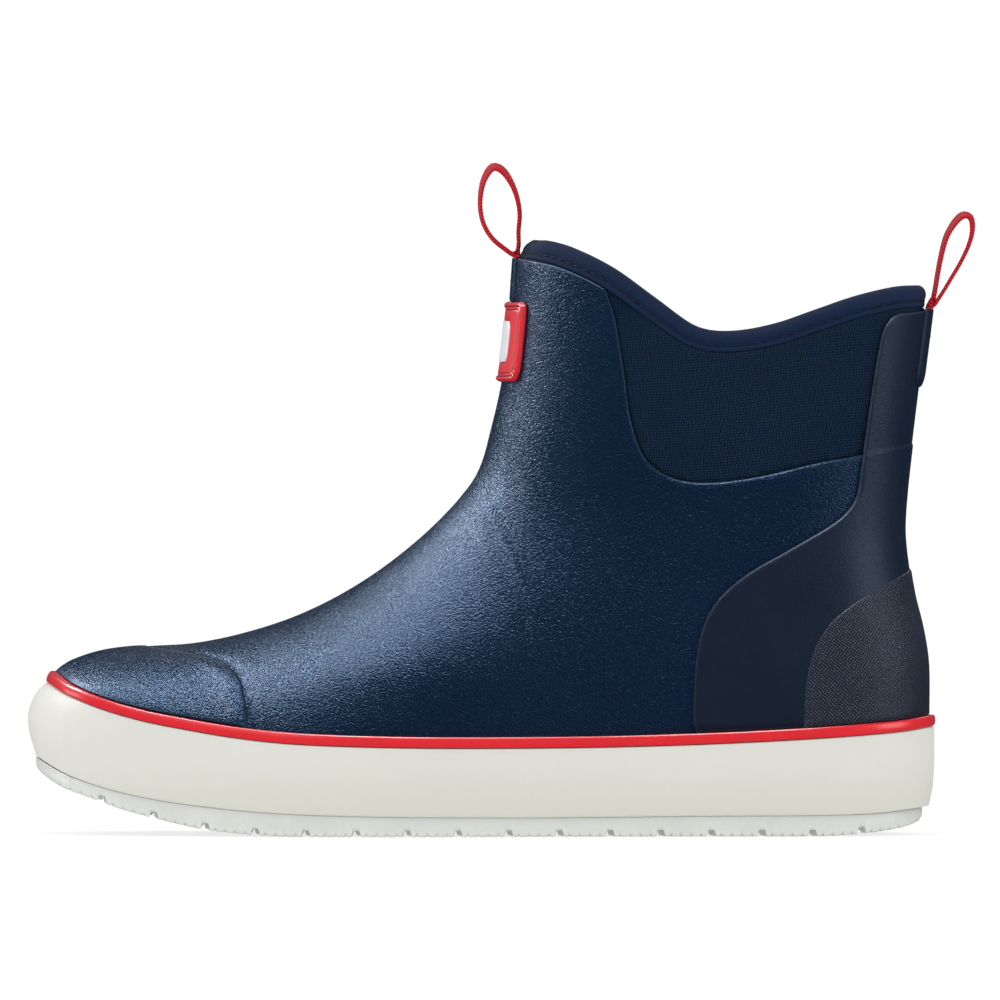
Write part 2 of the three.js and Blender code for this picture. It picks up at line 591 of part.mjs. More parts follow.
// ---- sole ----
// How far the sole's faces stand out from the skin: more at the toe, less at the heel.
const toeward = (normal) => Math.max(0, -normal.x) ** 1.6;
const heelward = (normal) => Math.max(0, normal.x) ** 1.6;
const sidewallBelly = (n) => 4.6 + 5.2 * toeward(n) - 0.9 * heelward(n);
const sidewallFoot = (n) => 3.6 + 3.9 * toeward(n) - 1.3 * heelward(n);
const treadReach = (n) => 2.4 + 4.3 * toeward(n) - 2.8 * heelward(n);
const inset = (amount) => () => amount;
const deck = (x) => soleLine(x) - SKIRT_DROP; // the insole board's upper side

const sidewall = soleRing((normal, x) => {
  const top = soleLine(x) - STRIPE_HEIGHT - GAP;
  const belly = sidewallBelly(normal);
  const foot = sidewallFoot(normal);
  const lowAt = (out) => partingLine(x + normal.x * out) + SLACK;
  const low = lowAt(foot);
  return [
    [GAP, lowAt(GAP)], [foot - 1.2, lowAt(foot - 1.2)], [foot, low + 1.6],
    [mix(foot, belly, 0.7), mix(low, top, 0.28)],
    [belly, mix(low, top, 0.55)], [mix(3.7, belly, 0.6), mix(low, top, 0.84)], [3.7, top], [GAP, top],
  ];
});
const stripe = soleRing((normal, x) => {
  const top = soleLine(x);
  const low = top - STRIPE_HEIGHT;
  return [
    [GAP, low], [3.3, low], [4.0, low + 1.0], [4.0, top - 1.2], [3.3, top - 0.1], [GAP, top],
  ];
});

function treadGroove(x) {
  const ys = [-FAR, -38, -19, 0, 19, 38, FAR];
  const edge = ys.map((y, i) => [x + (i % 2 ? GROOVE_WAVE : -GROOVE_WAVE) * (Math.abs(y) < 50 ? 1 : 0), y]);
  const shape = new THREE.Shape([
    ...edge.map(([ex, y]) => new THREE.Vector2(ex - GROOVE_WIDTH / 2, y)),
    ...edge.reverse().map(([ex, y]) => new THREE.Vector2(ex + GROOVE_WIDTH / 2, y)),
  ]);
  return planPrism(shape, -5, groundLine(x) + GROOVE_DEPTH);
}
let tread = plate(treadReach, (n) => treadReach(n) - 1.0, partingLine, groundLine);
for (let i = 0; i < GROOVE_COUNT; i++) tread = tread.subtract(treadGroove(FIRST_GROOVE_X + i * GROOVE_PITCH));

const BOARD_INSET = -0.6;
const shankPlan = roundedRectangle(-12, -11, 96, 11, 5);
const shankSlab = (low, high) => plate(
  inset(BOARD_INSET - 0.3), inset(BOARD_INSET - 0.3), (x) => deck(x) + high, (x) => deck(x) + low,
).intersect(planPrism(shankPlan, 0, FAR));
const boardLow = -BOARD - GAP;
const SHANK = 1.6; // its thickness
const shank = shankSlab(boardLow - GAP - SHANK, boardLow - GAP);
const shankPocket = planPrism(roundedRectangle(-12.4, -11.4, 96.4, 11.4, 5.4), 0, FAR).intersect(plate(
  inset(BOARD_INSET), inset(BOARD_INSET), (x) => deck(x) + 5, (x) => deck(x) + boardLow - 2 * GAP - SHANK,
));
const midsole = plate(
  inset(BOARD_INSET), inset(BOARD_INSET), (x) => deck(x) + boardLow - GAP, (x) => partingLine(x) + 2 * SLACK,
).subtract(shankPocket);
const board = plate(
  inset(BOARD_INSET), inset(BOARD_INSET), (x) => deck(x) - GAP, (x) => deck(x) + boardLow,
);
const FOOTBED_INSET = LINING_LOW - 0.5;
const footbedFoam = plate(
  inset(FOOTBED_INSET), inset(FOOTBED_INSET), (x) => deck(x) + FOOTBED, deck,
);
const footbedCover = plate(
  inset(FOOTBED_INSET), inset(FOOTBED_INSET),
  (x) => deck(x) + FOOTBED + GAP + FOOTBED_COVER, (x) => deck(x) + FOOTBED + GAP,
);

// ---- finishes ----
const finish = (color, roughness) => new THREE.MeshStandardMaterial({ color, roughness, metalness: 0 });
const NAVY_RUBBER = finish(0x1a2c48, 0.42);
const NAVY_SMOOTH = finish(0x1f2a40, 0.55);
const NAVY_NEOPRENE = finish(0x15263c, 0.9);
const NAVY_BINDING = finish(0x1a2942, 0.85);
const LINING_GREY = finish(0x23272e, 0.95);
const RED_RUBBER = finish(0xd4202f, 0.35);
const RED_WEBBING = finish(0xbe2a34, 0.8);
const WHITE_RUBBER = finish(0xdcdcd4, 0.5);
const TREAD_RUBBER = finish(0xd6d9d4, 0.45);
const WHITE_INLAY = finish(0xe8e8ea, 0.5);
const FOAM = finish(0xb9b7ae, 0.95);
const BOARD_FIBRE = finish(0x9c8f78, 0.9);
const STIFF_FIBRE = finish(0x5d5a54, 0.8);
const SHANK_NYLON = finish(0x2b2b2b, 0.5);

// ---- the boot ----
const boot = new THREE.Group();
function addPiece(name, solid, material) {
  const mesh = new THREE.Mesh(geometryFrom(solid), material);
  mesh.name = name;
  boot.add(mesh);
}
addPiece("outsole_tread", tread, TREAD_RUBBER);
addPiece("sidewall_foxing", sidewall, WHITE_RUBBER);
addPiece("foxing_stripe", stripe, RED_RUBBER);
addPiece("midsole_core", midsole, FOAM);
addPiece("shank_plate", shank, SHANK_NYLON);
addPiece("insole_board", board, BOARD_FIBRE);
addPiece("footbed_foam", footbedFoam, FOAM);
addPiece("footbed_cover", footbedCover, LINING_GREY);
addPiece("lining_bootie", lining, LINING_GREY);
addPiece("heel_stiffener", heelStiffener, STIFF_FIBRE);
addPiece("toe_puff", toePuff, STIFF_FIBRE);
addPiece("vamp_shell", vamp, NAVY_RUBBER);
addPiece("heel_quarter", heelQuarter, NAVY_RUBBER);
addPiece("toe_cap", toeCap, NAVY_RUBBER);
addPiece("neoprene_panel", neoprenePanel, NAVY_NEOPRENE);
addPiece("back_counter", counter, NAVY_SMOOTH);
addPiece("heel_patch", heelPatch, NAVY_SMOOTH);
addPiece("collar_binding", binding, NAVY_BINDING);
addPiece("collar_stitching", collarThread, NAVY_SMOOTH);
addPiece("badge_base", badge, RED_RUBBER);
addPiece("badge_inlay", badgeInlay, WHITE_INLAY);
addPiece("front_anchor_tab", frontTab, NAVY_RUBBER);
addPiece("front_bartack", frontBartack, NAVY_SMOOTH);
addPiece("front_webbing_tail", frontTail, RED_WEBBING);
addPiece("front_pull_loop", webbingLoop(FRONT_LOOP), RED_WEBBING);
addPiece("rear_anchor_tab", rearTab, NAVY_SMOOTH);
addPiece("rear_bartack", rearBartack, NAVY_SMOOTH);
addPiece("rear_webbing_tail", rearTail, RED_WEBBING);
addPiece("rear_pull_loop", webbingLoop(REAR_LOOP), RED_WEBBING);

export default boot;
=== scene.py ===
"""Ankle-high rubber deck boot, left foot.

Lengths below are millimetres and are scaled to metres as each piece is made. The
finishes' values, the lights and the tent are in metres.
The toe points to -X, the outer side of the foot to -Y, and the ground is z = 0.
The upper's skin is given by its side view and a width: every panel is a patch of
that skin, cut to its outline and lifted off it.
"""
import math

import bpy
import numpy as np
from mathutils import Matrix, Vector


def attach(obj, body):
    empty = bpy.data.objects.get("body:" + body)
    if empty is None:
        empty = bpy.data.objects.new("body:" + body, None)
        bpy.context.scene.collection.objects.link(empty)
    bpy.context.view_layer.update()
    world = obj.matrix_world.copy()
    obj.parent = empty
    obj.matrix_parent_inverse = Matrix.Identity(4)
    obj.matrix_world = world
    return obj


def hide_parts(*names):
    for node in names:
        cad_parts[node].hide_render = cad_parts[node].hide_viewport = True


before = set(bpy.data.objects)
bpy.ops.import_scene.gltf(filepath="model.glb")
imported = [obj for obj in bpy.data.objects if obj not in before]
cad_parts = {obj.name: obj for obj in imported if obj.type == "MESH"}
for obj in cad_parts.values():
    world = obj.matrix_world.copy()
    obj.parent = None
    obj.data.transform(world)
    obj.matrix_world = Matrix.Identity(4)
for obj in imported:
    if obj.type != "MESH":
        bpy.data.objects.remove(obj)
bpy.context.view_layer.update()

MM = 0.001


# ---- curves ----

def through(knots):
    """A smooth function through (station, value) knots."""
    xs, ys = np.array(knots, float).T
    last = len(xs) - 1
    before = np.maximum(np.arange(last + 1) - 1, 0)
    after = np.minimum(np.arange(last + 1) + 1, last)
    slopes = (ys[after] - ys[before]) / (xs[after] - xs[before])

    def curve(x):
        x = np.asarray(x, float)
        i = np.clip(np.searchsorted(xs, x, side="right") - 1, 0, last - 1)
        h = xs[i + 1] - xs[i]
        t = np.clip((x - xs[i]) / h, 0, 1)
        rise = 3 * t ** 2 - 2 * t ** 3
        start = (t ** 3 - 2 * t ** 2 + t) * h * slopes[i]
        end = (t ** 3 - t ** 2) * h * slopes[i + 1]
        return (1 - rise) * ys[i] + start + rise * ys[i + 1] + end

    return curve


def profile(points):
    """A smooth curve (x, z) through points, with t from 0 to 1 by length."""
    points = np.array(points, float)
    lengths = np.r_[0, np.cumsum(np.hypot(*np.diff(points, axis=0).T))]
    lengths /= lengths[-1]
    x = through(np.c_[lengths, points[:, 0]])
    z = through(np.c_[lengths, points[:, 1]])
    return lambda t: (x(t), z(t))


def smooth(low, high, x):
    t = np.clip((x - low) / (high - low), 0, 1)
    return t * t * (3 - 2 * t)


def mix(a, b, t):
    return a + (b - a) * t


def unit(vectors):
    return vectors / np.linalg.norm(vectors, axis=1)[:, None]


def from_nearest(places, start, step):
    """From the nearest point of every stretch of a line to each place, and those gaps squared."""
    away = places[:, None] - start
    share = np.clip((away * step).sum(-1) / np.maximum((step ** 2).sum(-1), 1e-9), 0, 1)
    away = away - share[..., None] * step
    return away, (away ** 2).sum(-1)


# ---- the boot's lines ----

front_profile = profile([
    (-141.5, 54.3), (-136.3, 57.5), (-126, 60.8), (-112, 62.5), (-96, 63.6), (-80, 66.8),
    (-62, 72.6), (-45.2, 80.8), (-29, 91.6), (-13, 105.6), (-1.6, 119.7), (3.7, 136.7),
    (7.2, 153), (9.5, 172), (11, 192),
])
back_profile = profile([
    (147.4, 39.8), (147.3, 56.7), (145.6, 68), (142.6, 80), (140.6, 92), (139.8, 101),
    (140.4, 112), (142.2, 128), (144.8, 148.7), (148.2, 175.3),
])
sole_line = through([
    (-141.5, 54.3), (-134.5, 49.9), (-124, 45.4), (-111, 41.7), (-98, 39.2), (-80, 36.3),
    (-60, 34.3), (-27, 33.2), (6, 33), (40, 33.3), (73, 34.2), (106, 35.8), (135, 38), (147.4, 39.8),
])
collar_line = through([
    (11, 192), (18, 190.7), (26.3, 188.4), (39.7, 182), (53, 172.7), (66.3, 163.3), (75, 160.4),
    (86.3, 160.3), (99.7, 162.9), (113, 167.3), (126.3, 171.6), (139.7, 174.6), (148.2, 175.3),
])
parting_line = through([
    (-149, 26), (-136.7, 19.7), (-117.7, 14), (-93.7, 10), (-60.3, 7.3), (6.3, 6.3), (73, 6.7),
    (127, 7.3), (151, 9.6),
])
rocker = through([
    (-149, 22.4), (-146, 20), (-139, 15.9), (-129.3, 12.4), (-117.7, 8.4), (-102, 4.4), (-91, 2.2),
    (-76, 0.6), (-62, 0), (110, 0), (127, 0.9), (140, 2.7), (148, 5.2),
])
middle_line = through([(-141.5, 8), (-100, 5.5), (-50, 1), (0, -1), (60, 0), (148.2, 0)])
outer_width = through([
    (-141.5, 45), (-100, 46), (-60, 49.5), (-30, 49), (10, 44), (50, 39.5), (90, 37.5), (148.2, 37),
])
inner_width = through([
    (-141.5, 42), (-100, 45), (-70, 48), (-40, 45.5), (0, 38.5), (35, 35.5), (70, 36), (110, 37),
    (148.2, 37),
])
shaft_width = through([(60, 36.5), (90, 36.5), (120, 36.5), (150, 38), (192, 39.5)])
FRONT_ROUNDING, BACK_ROUNDING = 62.0, 56.0
TOE_TIP, HEEL_END, COLLAR_FRONT, COLLAR_BACK = -141.5, 147.4, 11, 148.2
SKIRT_DROP = 13.0
STRIPE_HEIGHT = 3.6
ground_line = lambda x: np.maximum(rocker(x), 0)
deck = lambda x: sole_line(x) - SKIRT_DROP


def distance_from(curve, inward):
    """Signed distance from a profile, and its gradient. inward is +1 where the boot lies to its left."""
    line = np.stack(curve(np.linspace(0, 1, 401)), -1)
    start, step = line[:-1], np.diff(line, axis=0)
    left_of = unit(np.stack((-step[:, 1], step[:, 0]), -1))

    def distance(x, z):
        found = np.empty((len(x), 3))
        for first in range(0, len(x), 5000):
            part = slice(first, first + 5000)
            away, gaps = from_nearest(np.stack((x[part], z[part]), -1), start, step)
            k = gaps.argmin(1)
            row = np.arange(len(k))
            away, gap, left = away[row, k], np.sqrt(gaps[row, k])[:, None], left_of[k]
            sign = np.where((away * left).sum(-1) < 0, -1, 1)[:, None] * inward
            slope = np.where(gap > 1e-4, away / np.maximum(gap, 1e-4) * sign, left * inward)
            found[part] = np.c_[gap * sign, slope]
        return found[:, 0], found[:, 1], found[:, 2]

    return distance


behind_front = distance_from(front_profile, -1)
before_back = distance_from(back_profile, 1)


def full_width(x, z, inner):
    foot = np.where(inner, inner_width(x), outer_width(x))
    return mix(foot, shaft_width(z), smooth(50, 110, z))


def skin(x, z, side):
    """Points of the skin over (x, z), and the directions out of the boot. side is -1 on the outer side,
    +1 on the inner side and 0 on the front and back profiles. The skin drops straight down below the
    sole line."""
    floor = sole_line(x)
    high = np.maximum(z, floor)
    (front, front_x, front_z), (back, back_x, back_z) = behind_front(x, high), before_back(x, high)

    def swell(distance, rounding):
        left = 1 - np.clip(distance / rounding, 0, 1)
        return 1 - left ** 3, 3 * left ** 2 / rounding

    (near, near_rise), (far, far_rise) = swell(front, FRONT_ROUNDING), swell(back, BACK_ROUNDING)
    swelling = np.maximum(near * far, 0)
    inner = side > 0
    width = full_width(x, high, inner)
    across = side * width * np.sqrt(swelling)
    step = 0.05
    width_x = (full_width(x + step, high, inner) - full_width(x - step, high, inner)) / (2 * step)
    width_z = (full_width(x, high + step, inner) - full_width(x, high - step, inner)) / (2 * step)
    middle_x = (middle_line(x + step) - middle_line(x - step)) / (2 * step)
    normal = np.stack((
        -2 * across * middle_x / width ** 2 - 2 * swelling * width_x / width
        - far * near_rise * front_x - near * far_rise * back_x,
        2 * across / width ** 2,
        (-2 * swelling * width_z / width - far * near_rise * front_z - near * far_rise * back_z)
        * smooth(0, 3, z - floor),
    ), -1)
    return np.stack((x, middle_line(x) + across, z), -1), unit(normal)


# ---- the fine mesh of the skin that every panel is cut from ----

RIDGE_COLUMNS, COLLAR_COLUMNS, RISE_ROWS = 120, 76, 58
COLUMNS = RIDGE_COLUMNS + COLLAR_COLUMNS
SKIRT_ROWS = 3
SKIRT_STEP = 3.0
ridge_foot = through([
    (0, -141.5), (0.012, -140.6), (0.04, -136.5), (0.085, -128), (0.14, -116), (0.21, -99), (0.29, -80),
    (0.38, -58), (0.48, -36), (0.58, -18), (0.68, -4), (0.78, 7), (0.88, 16), (1, 24),
])


def column_lines(v):
    """Side view places for every column at height v, and where each lies along the front profile."""
    ridge = np.linspace(0, 1, RIDGE_COLUMNS + 1) ** 1.5
    collar = np.linspace(0, 1, COLLAR_COLUMNS + 1)[1:]
    foot_x = np.r_[ridge_foot(ridge), mix(ridge_foot(1.0), HEEL_END, np.sin(collar * math.pi / 2))]
    foot_x[0] = TOE_TIP
    head_x, head_z = front_profile(ridge)
    collar_x = mix(COLLAR_FRONT, COLLAR_BACK, (1 - np.cos(collar * math.pi)) / 2)
    head_x, head_z = np.r_[head_x, collar_x], np.r_[head_z, collar_line(collar_x)]
    pull = np.r_[np.zeros(RIDGE_COLUMNS + 1), collar ** 2]
    crowding = np.r_[np.full(RIDGE_COLUMNS + 1, 1.8), mix(1.8, 1.0, smooth(0, 0.5, collar))]
    v = 1 - (1 - v) ** crowding
    back_x, back_z = back_profile(v)
    chord_x, chord_z = mix(HEEL_END, COLLAR_BACK, v), mix(39.8, 175.3, v)
    x = mix(foot_x, head_x, v) + pull * (back_x - chord_x)
    z = mix(sole_line(foot_x), head_z, v) + pull * (back_z - chord_z)
    x[-1], z[-1] = back_x[-1], back_z[-1]
    return x, z, np.r_[ridge, np.ones(COLLAR_COLUMNS)], v


class Last:
    """The whole skin as points and triangles, both sides in one mesh. Each point keeps its side view
    place, its side, and how far it is round from the heel (around) and up from the sole (up)."""

    FRONT, BACK = 1, 2  # which profile a point lies on; 0 is neither

    def __init__(self):
        rows = [column_lines(row / RISE_ROWS) for row in range(RISE_ROWS + 1)]
        x, z = np.array([r[0] for r in rows]), np.array([r[1] for r in rows])
        drop = -SKIRT_STEP * np.arange(SKIRT_ROWS, 0, -1)[:, None]
        x = np.vstack((np.repeat(x[:1], SKIRT_ROWS, 0), x))
        z = np.vstack((z[0] + drop, z))
        along = np.tile(rows[0][2], (len(x), 1))
        height = np.vstack((np.zeros((SKIRT_ROWS, COLUMNS + 1)), [r[3] for r in rows]))
        on = np.zeros(x.shape, int)
        on[-1, :RIDGE_COLUMNS + 1] = self.FRONT
        on[SKIRT_ROWS:, -1] = self.BACK
        shared = on > 0
        shared[:, [0, -1]] = True
        number = np.full((2,) + x.shape, -1)
        number[0] = np.arange(x.size).reshape(x.shape)
        number[1] = np.where(shared, number[0], number[0] + x.size)
        side = np.r_[np.where(shared, 0, -1).ravel(), np.ones(x.size, int)]
        self.x, self.z = np.tile(x.ravel(), 2), np.tile(z.ravel(), 2)
        self.side = side
        self.on = np.tile(on.ravel(), 2)
        self.t = np.tile(np.where(on == self.FRONT, along, height).ravel(), 2)
        self.around, self.up = self.measure(x, z)
        self.triangles = self.join(number)

    def measure(self, x, z):
        arounds, ups = [], []
        for side in (-1, 1):
            place = skin(x.ravel(), z.ravel(), np.full(x.size, side))[0].reshape(x.shape + (3,))
            step = np.linalg.norm(np.diff(place, axis=1), axis=2)
            around = np.c_[np.cumsum(step[:, ::-1], 1)[:, ::-1], np.zeros(len(x))]
            rise = np.linalg.norm(np.diff(place, axis=0), axis=2)
            up = np.vstack((np.zeros(x.shape[1]), np.cumsum(rise, 0)))
            arounds.append(side * around.ravel())
            ups.append(up.ravel())
        return np.concatenate(arounds), np.concatenate(ups)

    def join(self, number):
        triangles = []
        for side, table in enumerate(number):
            a, b = table[:-1, :-1].ravel(), table[:-1, 1:].ravel()
            c, d = table[1:, 1:].ravel(), table[1:, :-1].ravel()
            quads = np.stack((a, b, c, d), -1)
            # Above the skirt the first column starts at one point, the tip of the toe.
            row, column = (g.ravel() for g in np.indices((table.shape[0] - 1, COLUMNS)))
            at_tip = np.flatnonzero((column == 0) & (row >= SKIRT_ROWS))
            quads[np.ix_(at_tip, (0, 3))] = table[SKIRT_ROWS, 0]
            pairs = np.concatenate((quads[:, [0, 1, 2]], quads[:, [0, 2, 3]]))
            if side:
                pairs = pairs[:, ::-1]
            triangles.append(pairs)
        triangles = np.concatenate(triangles)
        flat = (triangles[:, 0] == triangles[:, 1]) | (triangles[:, 1] == triangles[:, 2]) | (
            triangles[:, 0] == triangles[:, 2])
        return triangles[~flat]


last = Last()
last_points = skin(last.x, last.z, last.side)[0]


# ---- outlines ----

def spline(points, spacing=0.6):
    """Points along a smooth curve through points."""
    curve = profile(points)
    length = np.hypot(*np.diff(np.array(points, float), axis=0).T).sum()
    return np.stack(curve(np.linspace(0, 1, max(int(length / spacing), 4))), -1)


def is_inside(polygon, x, z):
    inside = np.zeros(len(x), bool)
    for (xa, za), (xb, zb) in zip(polygon, np.roll(polygon, -1, 0)):
        crosses = (za > z) != (zb > z)
        if crosses.any():
            inside ^= crosses & (x < (xb - xa) * (z - za) / (zb - za + 1e-12) + xa)
    return inside


DEPTH_REACH = 14  # depth is measured no further from an outline than this


def depth_inside(edge, closing):
    """How far each point of the last lies inside an area, along the skin: positive inside. The area is
    bounded in the side view by an edge across the skin and by closing points clear of it."""
    polygon = np.vstack((edge, closing))
    inside = is_inside(polygon, last.x, last.z)
    (front, _, _), (back, _, _) = behind_front(*edge.T), before_back(*edge.T)
    kept = edge[(front > -0.3) & (back > -0.3)]
    nearest = np.full(len(last.x), 1e9)
    for side in (-1, 1):
        line = skin(kept[:, 0], kept[:, 1], np.full(len(kept), side))[0]
        start, step = line[:-1], np.diff(line, axis=0)
        low, high = line.min(0) - DEPTH_REACH, line.max(0) + DEPTH_REACH
        near = np.flatnonzero(((last_points > low) & (last_points < high)).all(1))
        for part in np.array_split(near, max(len(near) // 3000, 1)):
            gap = np.sqrt(from_nearest(last_points[part], start, step)[1].min(1))
            nearest[part] = np.minimum(nearest[part], gap)
    nearest = np.minimum(nearest, DEPTH_REACH)
    return np.where(inside, nearest, -nearest)


FAR = 180.0
RUBBER_EDGE = np.vstack(([[36.5, 200], [38.6, 190]], spline([
    (41, 182), (44.3, 172), (47.3, 155), (50, 137), (55, 124.5), (64, 118.6), (76, 117.2),
    (93, 119.4), (110, 123.3), (126, 126.2), (143, 130)]), [[160, 134]]))
COUNTER_EDGE = np.vstack(([[70.2, 20]], spline([
    (70.2, 30), (70.6, 50), (72.5, 66), (77.5, 77), (87, 86), (104, 96), (118.5, 105), (124, 112),
    (125.8, 122), (128.5, 141), (131.5, 160), (133.6, 168.5), (137.2, 172.6), (143, 173.6)]),
    [[160, 174.2]]))
PATCH_EDGE = np.vstack(([[106.4, 20]], spline([
    (106.6, 30), (107.2, 48), (109.5, 60), (114.5, 69.5), (122.5, 76.5), (133, 83), (145, 90)]),
    [[160, 98]]))
TOE_CAP_EDGE = np.vstack(([[-76.2, 20]], spline([
    (-76.4, 31), (-78, 45), (-80.5, 53), (-87, 57.6), (-98, 60.4), (-112, 62.6), (-122, 66)]),
    [[-130, 70]]))
in_window = depth_inside(RUBBER_EDGE, [[FAR, 134], [FAR, 260], [36.5, 260]])
in_counter = depth_inside(COUNTER_EDGE, [[FAR, 174.2], [FAR, 0], [70.2, 0]])
in_patch = depth_inside(PATCH_EDGE, [[FAR, 98], [FAR, 0], [106.4, 0]])
in_toe_cap = depth_inside(TOE_CAP_EDGE, [[-FAR, 70], [-FAR, 0], [-76.2, 0]])

# The shaft's front, unrolled: how far a point is round from the middle.
SHAFT_HALF_WIDTH = 39.0
unrolled_y = np.linspace(0, 36, 145)
unrolled_x = FRONT_ROUNDING * (1 - np.cbrt(1 - (unrolled_y / SHAFT_HALF_WIDTH) ** 2))
unrolled = np.r_[0, np.cumsum(np.hypot(np.diff(unrolled_y), np.diff(unrolled_x)))]


def rounded_box(across, half_width, low, high, radius):
    """How far inside an upright rectangle with rounded corners: positive inside."""
    a = np.abs(across) - half_width + radius
    b = np.abs(last.z - (low + high) / 2) - (high - low) / 2 + radius
    return radius - np.hypot(np.maximum(a, 0), np.maximum(b, 0)) - np.minimum(np.maximum(a, b), 0)


OUT_OF_REACH, ABOVE_THE_BOOT = 1e3, 260
FRONT_ENDS_AT, BACK_STARTS_AT = 60, 100
SKIRT_SHOWN = 2.8  # the panels run this far below the sole line, behind the red bead
from_middle = last_points[:, 1] - middle_line(last.x)
front_girth = np.sign(from_middle) * np.interp(np.abs(from_middle), unrolled_y, unrolled)
front_girth = np.where(last.x < FRONT_ENDS_AT, front_girth, OUT_OF_REACH)
back_girth = np.where(last.x > BACK_STARTS_AT, last.around, OUT_OF_REACH)
# half width, low edge, high edge and corner radius
in_badge = rounded_box(front_girth, 20.4, 150.6, 177, 2.6)
in_badge_inlay = rounded_box(front_girth, 12.2, 157, 170.7, 1.6)
in_front_tab = rounded_box(front_girth, 8.8, 177.3, ABOVE_THE_BOOT, 0.6)
in_rear_tab = rounded_box(back_girth, 11.5, 149, ABOVE_THE_BOOT, 4.5)
below_collar = collar_line(last.x) - last.z
above_skirt = last.z - sole_line(last.x) + SKIRT_SHOWN
FIELDS = {
    "window": in_window, "counter": in_counter, "patch": in_patch, "toe_cap": in_toe_cap,
    "badge": in_badge, "inlay": in_badge_inlay, "front_tab": in_front_tab, "rear_tab": in_rear_tab,
    "collar": below_collar, "skirt": above_skirt,
    "not_window": -in_window, "not_counter": -in_counter,
}


# ---- cutting panels from the last ----

class Patch:
    """Triangles with values at their corners, which can be split along lines of equal value."""

    def __init__(self, triangles, data):
        used, triangles = np.unique(triangles, return_inverse=True)
        self.triangles = triangles.reshape(-1, 3)
        self.data = {name: values[used].tolist() for name, values in data.items()}

    def halfway(self, a, b, t):
        data = self.data
        on_a, on_b = data["on"][a], data["on"][b]
        both = on_a and on_a == on_b
        if on_a and not on_b:
            t_place = t * t
        elif on_b and not on_a:
            t_place = 1 - (1 - t) ** 2
        else:
            t_place = t
        for name, values in data.items():
            if name in ("side", "on"):
                continue
            share = t_place if name in ("x", "z") else t
            values.append(values[a] + (values[b] - values[a]) * share)
        data["on"].append(on_a if both else 0)
        sides = (data["side"][a], data["side"][b])
        data["side"].append(0 if sides == (0, 0) else (sides[0] or sides[1]))
        if both:
            curve = front_profile if on_a == Last.FRONT else back_profile
            data["x"][-1], data["z"][-1] = (float(c) for c in curve(data["t"][-1]))
        return len(data["x"]) - 1

    def split(self, field, level, snap=0.04):
        values = np.array(self.data[field]) - level
        values[np.abs(values) < snap] = 0
        signs = np.sign(values)[self.triangles]
        crossing = (signs.min(1) < 0) & (signs.max(1) > 0)
        kept, made, cuts = self.triangles[~crossing], [], {}

        def cut(a, b):
            key = (min(a, b), max(a, b))
            if key not in cuts:
                cuts[key] = self.halfway(*key, values[key[0]] / (values[key[0]] - values[key[1]]))
            return cuts[key]

        for triangle in self.triangles[crossing].tolist():
            sign = [np.sign(values[k]) for k in triangle]
            if 0 in sign:
                i = sign.index(0)
                a, b, c = triangle[i], triangle[(i + 1) % 3], triangle[(i + 2) % 3]
                m = cut(b, c)
                made += [(a, b, m), (a, m, c)]
            else:
                i = next(i for i in range(3) if sign[i] == -sign[i - 1] and sign[i] == -sign[i - 2])
                a, b, c = triangle[i], triangle[(i + 1) % 3], triangle[(i + 2) % 3]
                m, n = cut(a, b), cut(a, c)
                made += [(a, m, n), (m, b, c), (m, c, n)]
        self.triangles = np.vstack((kept, made)) if made else kept

    def keep(self, field, level):
        values = np.array(self.data[field]) - level
        self.triangles = self.triangles[values[self.triangles].mean(1) > 0]

    def cut_at(self, field, level, radius):
        """Keeps what lies above the level, with finer and finer lines towards it over the radius."""
        self.split(field, level)
        self.keep(field, level)
        for share in (0.06, 0.22, 0.5, 1.0) if radius else ():
            self.split(field, level + radius * share, snap=radius * 0.02)

    def finish(self):
        used, triangles = np.unique(self.triangles, return_inverse=True)
        self.triangles = triangles.reshape(-1, 3)
        self.data = {name: np.array(values)[used] for name, values in self.data.items()}


def rounded(depth, radius):
    """Height of a rounded edge, 0 at the rim and 1 from the radius inwards."""
    left = 1 - np.clip(depth / radius, 0, 1)
    return np.sqrt(np.maximum(1 - left ** 2, 0))


def closed_shell(triangles, low_points, high_points):
    """The triangles twice, under and over, with a wall round the rim."""
    count = len(low_points)
    edges = np.concatenate([triangles[:, [0, 1]], triangles[:, [1, 2]], triangles[:, [2, 0]]])
    keys = {(int(a), int(b)) for a, b in edges}
    rim = [(a, b) for a, b in keys if (b, a) not in keys]
    faces = [tuple(map(int, t + count)) for t in triangles]
    faces += [tuple(map(int, t[::-1])) for t in triangles]
    faces += [(a, b, b + count, a + count) for a, b in rim]
    return np.vstack((low_points, high_points)), faces


def add_object(name, data):
    thing = bpy.data.objects.new(name, data)
    bpy.context.scene.collection.objects.link(thing)
    return thing


def make_piece(name, points, faces, material, body, node, where=None):
    """A smooth-shaded piece riding on a body. node names the solid that it stands for, and where says how
    far each point is round the boot, up from the sole and in from the piece's rim."""
    mesh = bpy.data.meshes.new(name)
    mesh.from_pydata((np.asarray(points) * MM).tolist(), [], [tuple(map(int, f)) for f in faces])
    mesh.polygons.foreach_set("use_smooth", np.ones(len(mesh.polygons), bool))
    if where is not None:
        layer = mesh.attributes.new("cut_map", "FLOAT_VECTOR", "POINT")
        layer.data.foreach_set("vector", np.asarray(where, np.float32).ravel() * MM)
    mesh.materials.append(material)
    mesh.update()
    piece = add_object(name, mesh)
    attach(piece, body)
    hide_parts(node)


FAR_FROM_RIM = 20.0
THINNEST_RIM = 0.04
LAST_DATA = {name: getattr(last, name) for name in ("x", "z", "side", "on", "t", "around", "up")}


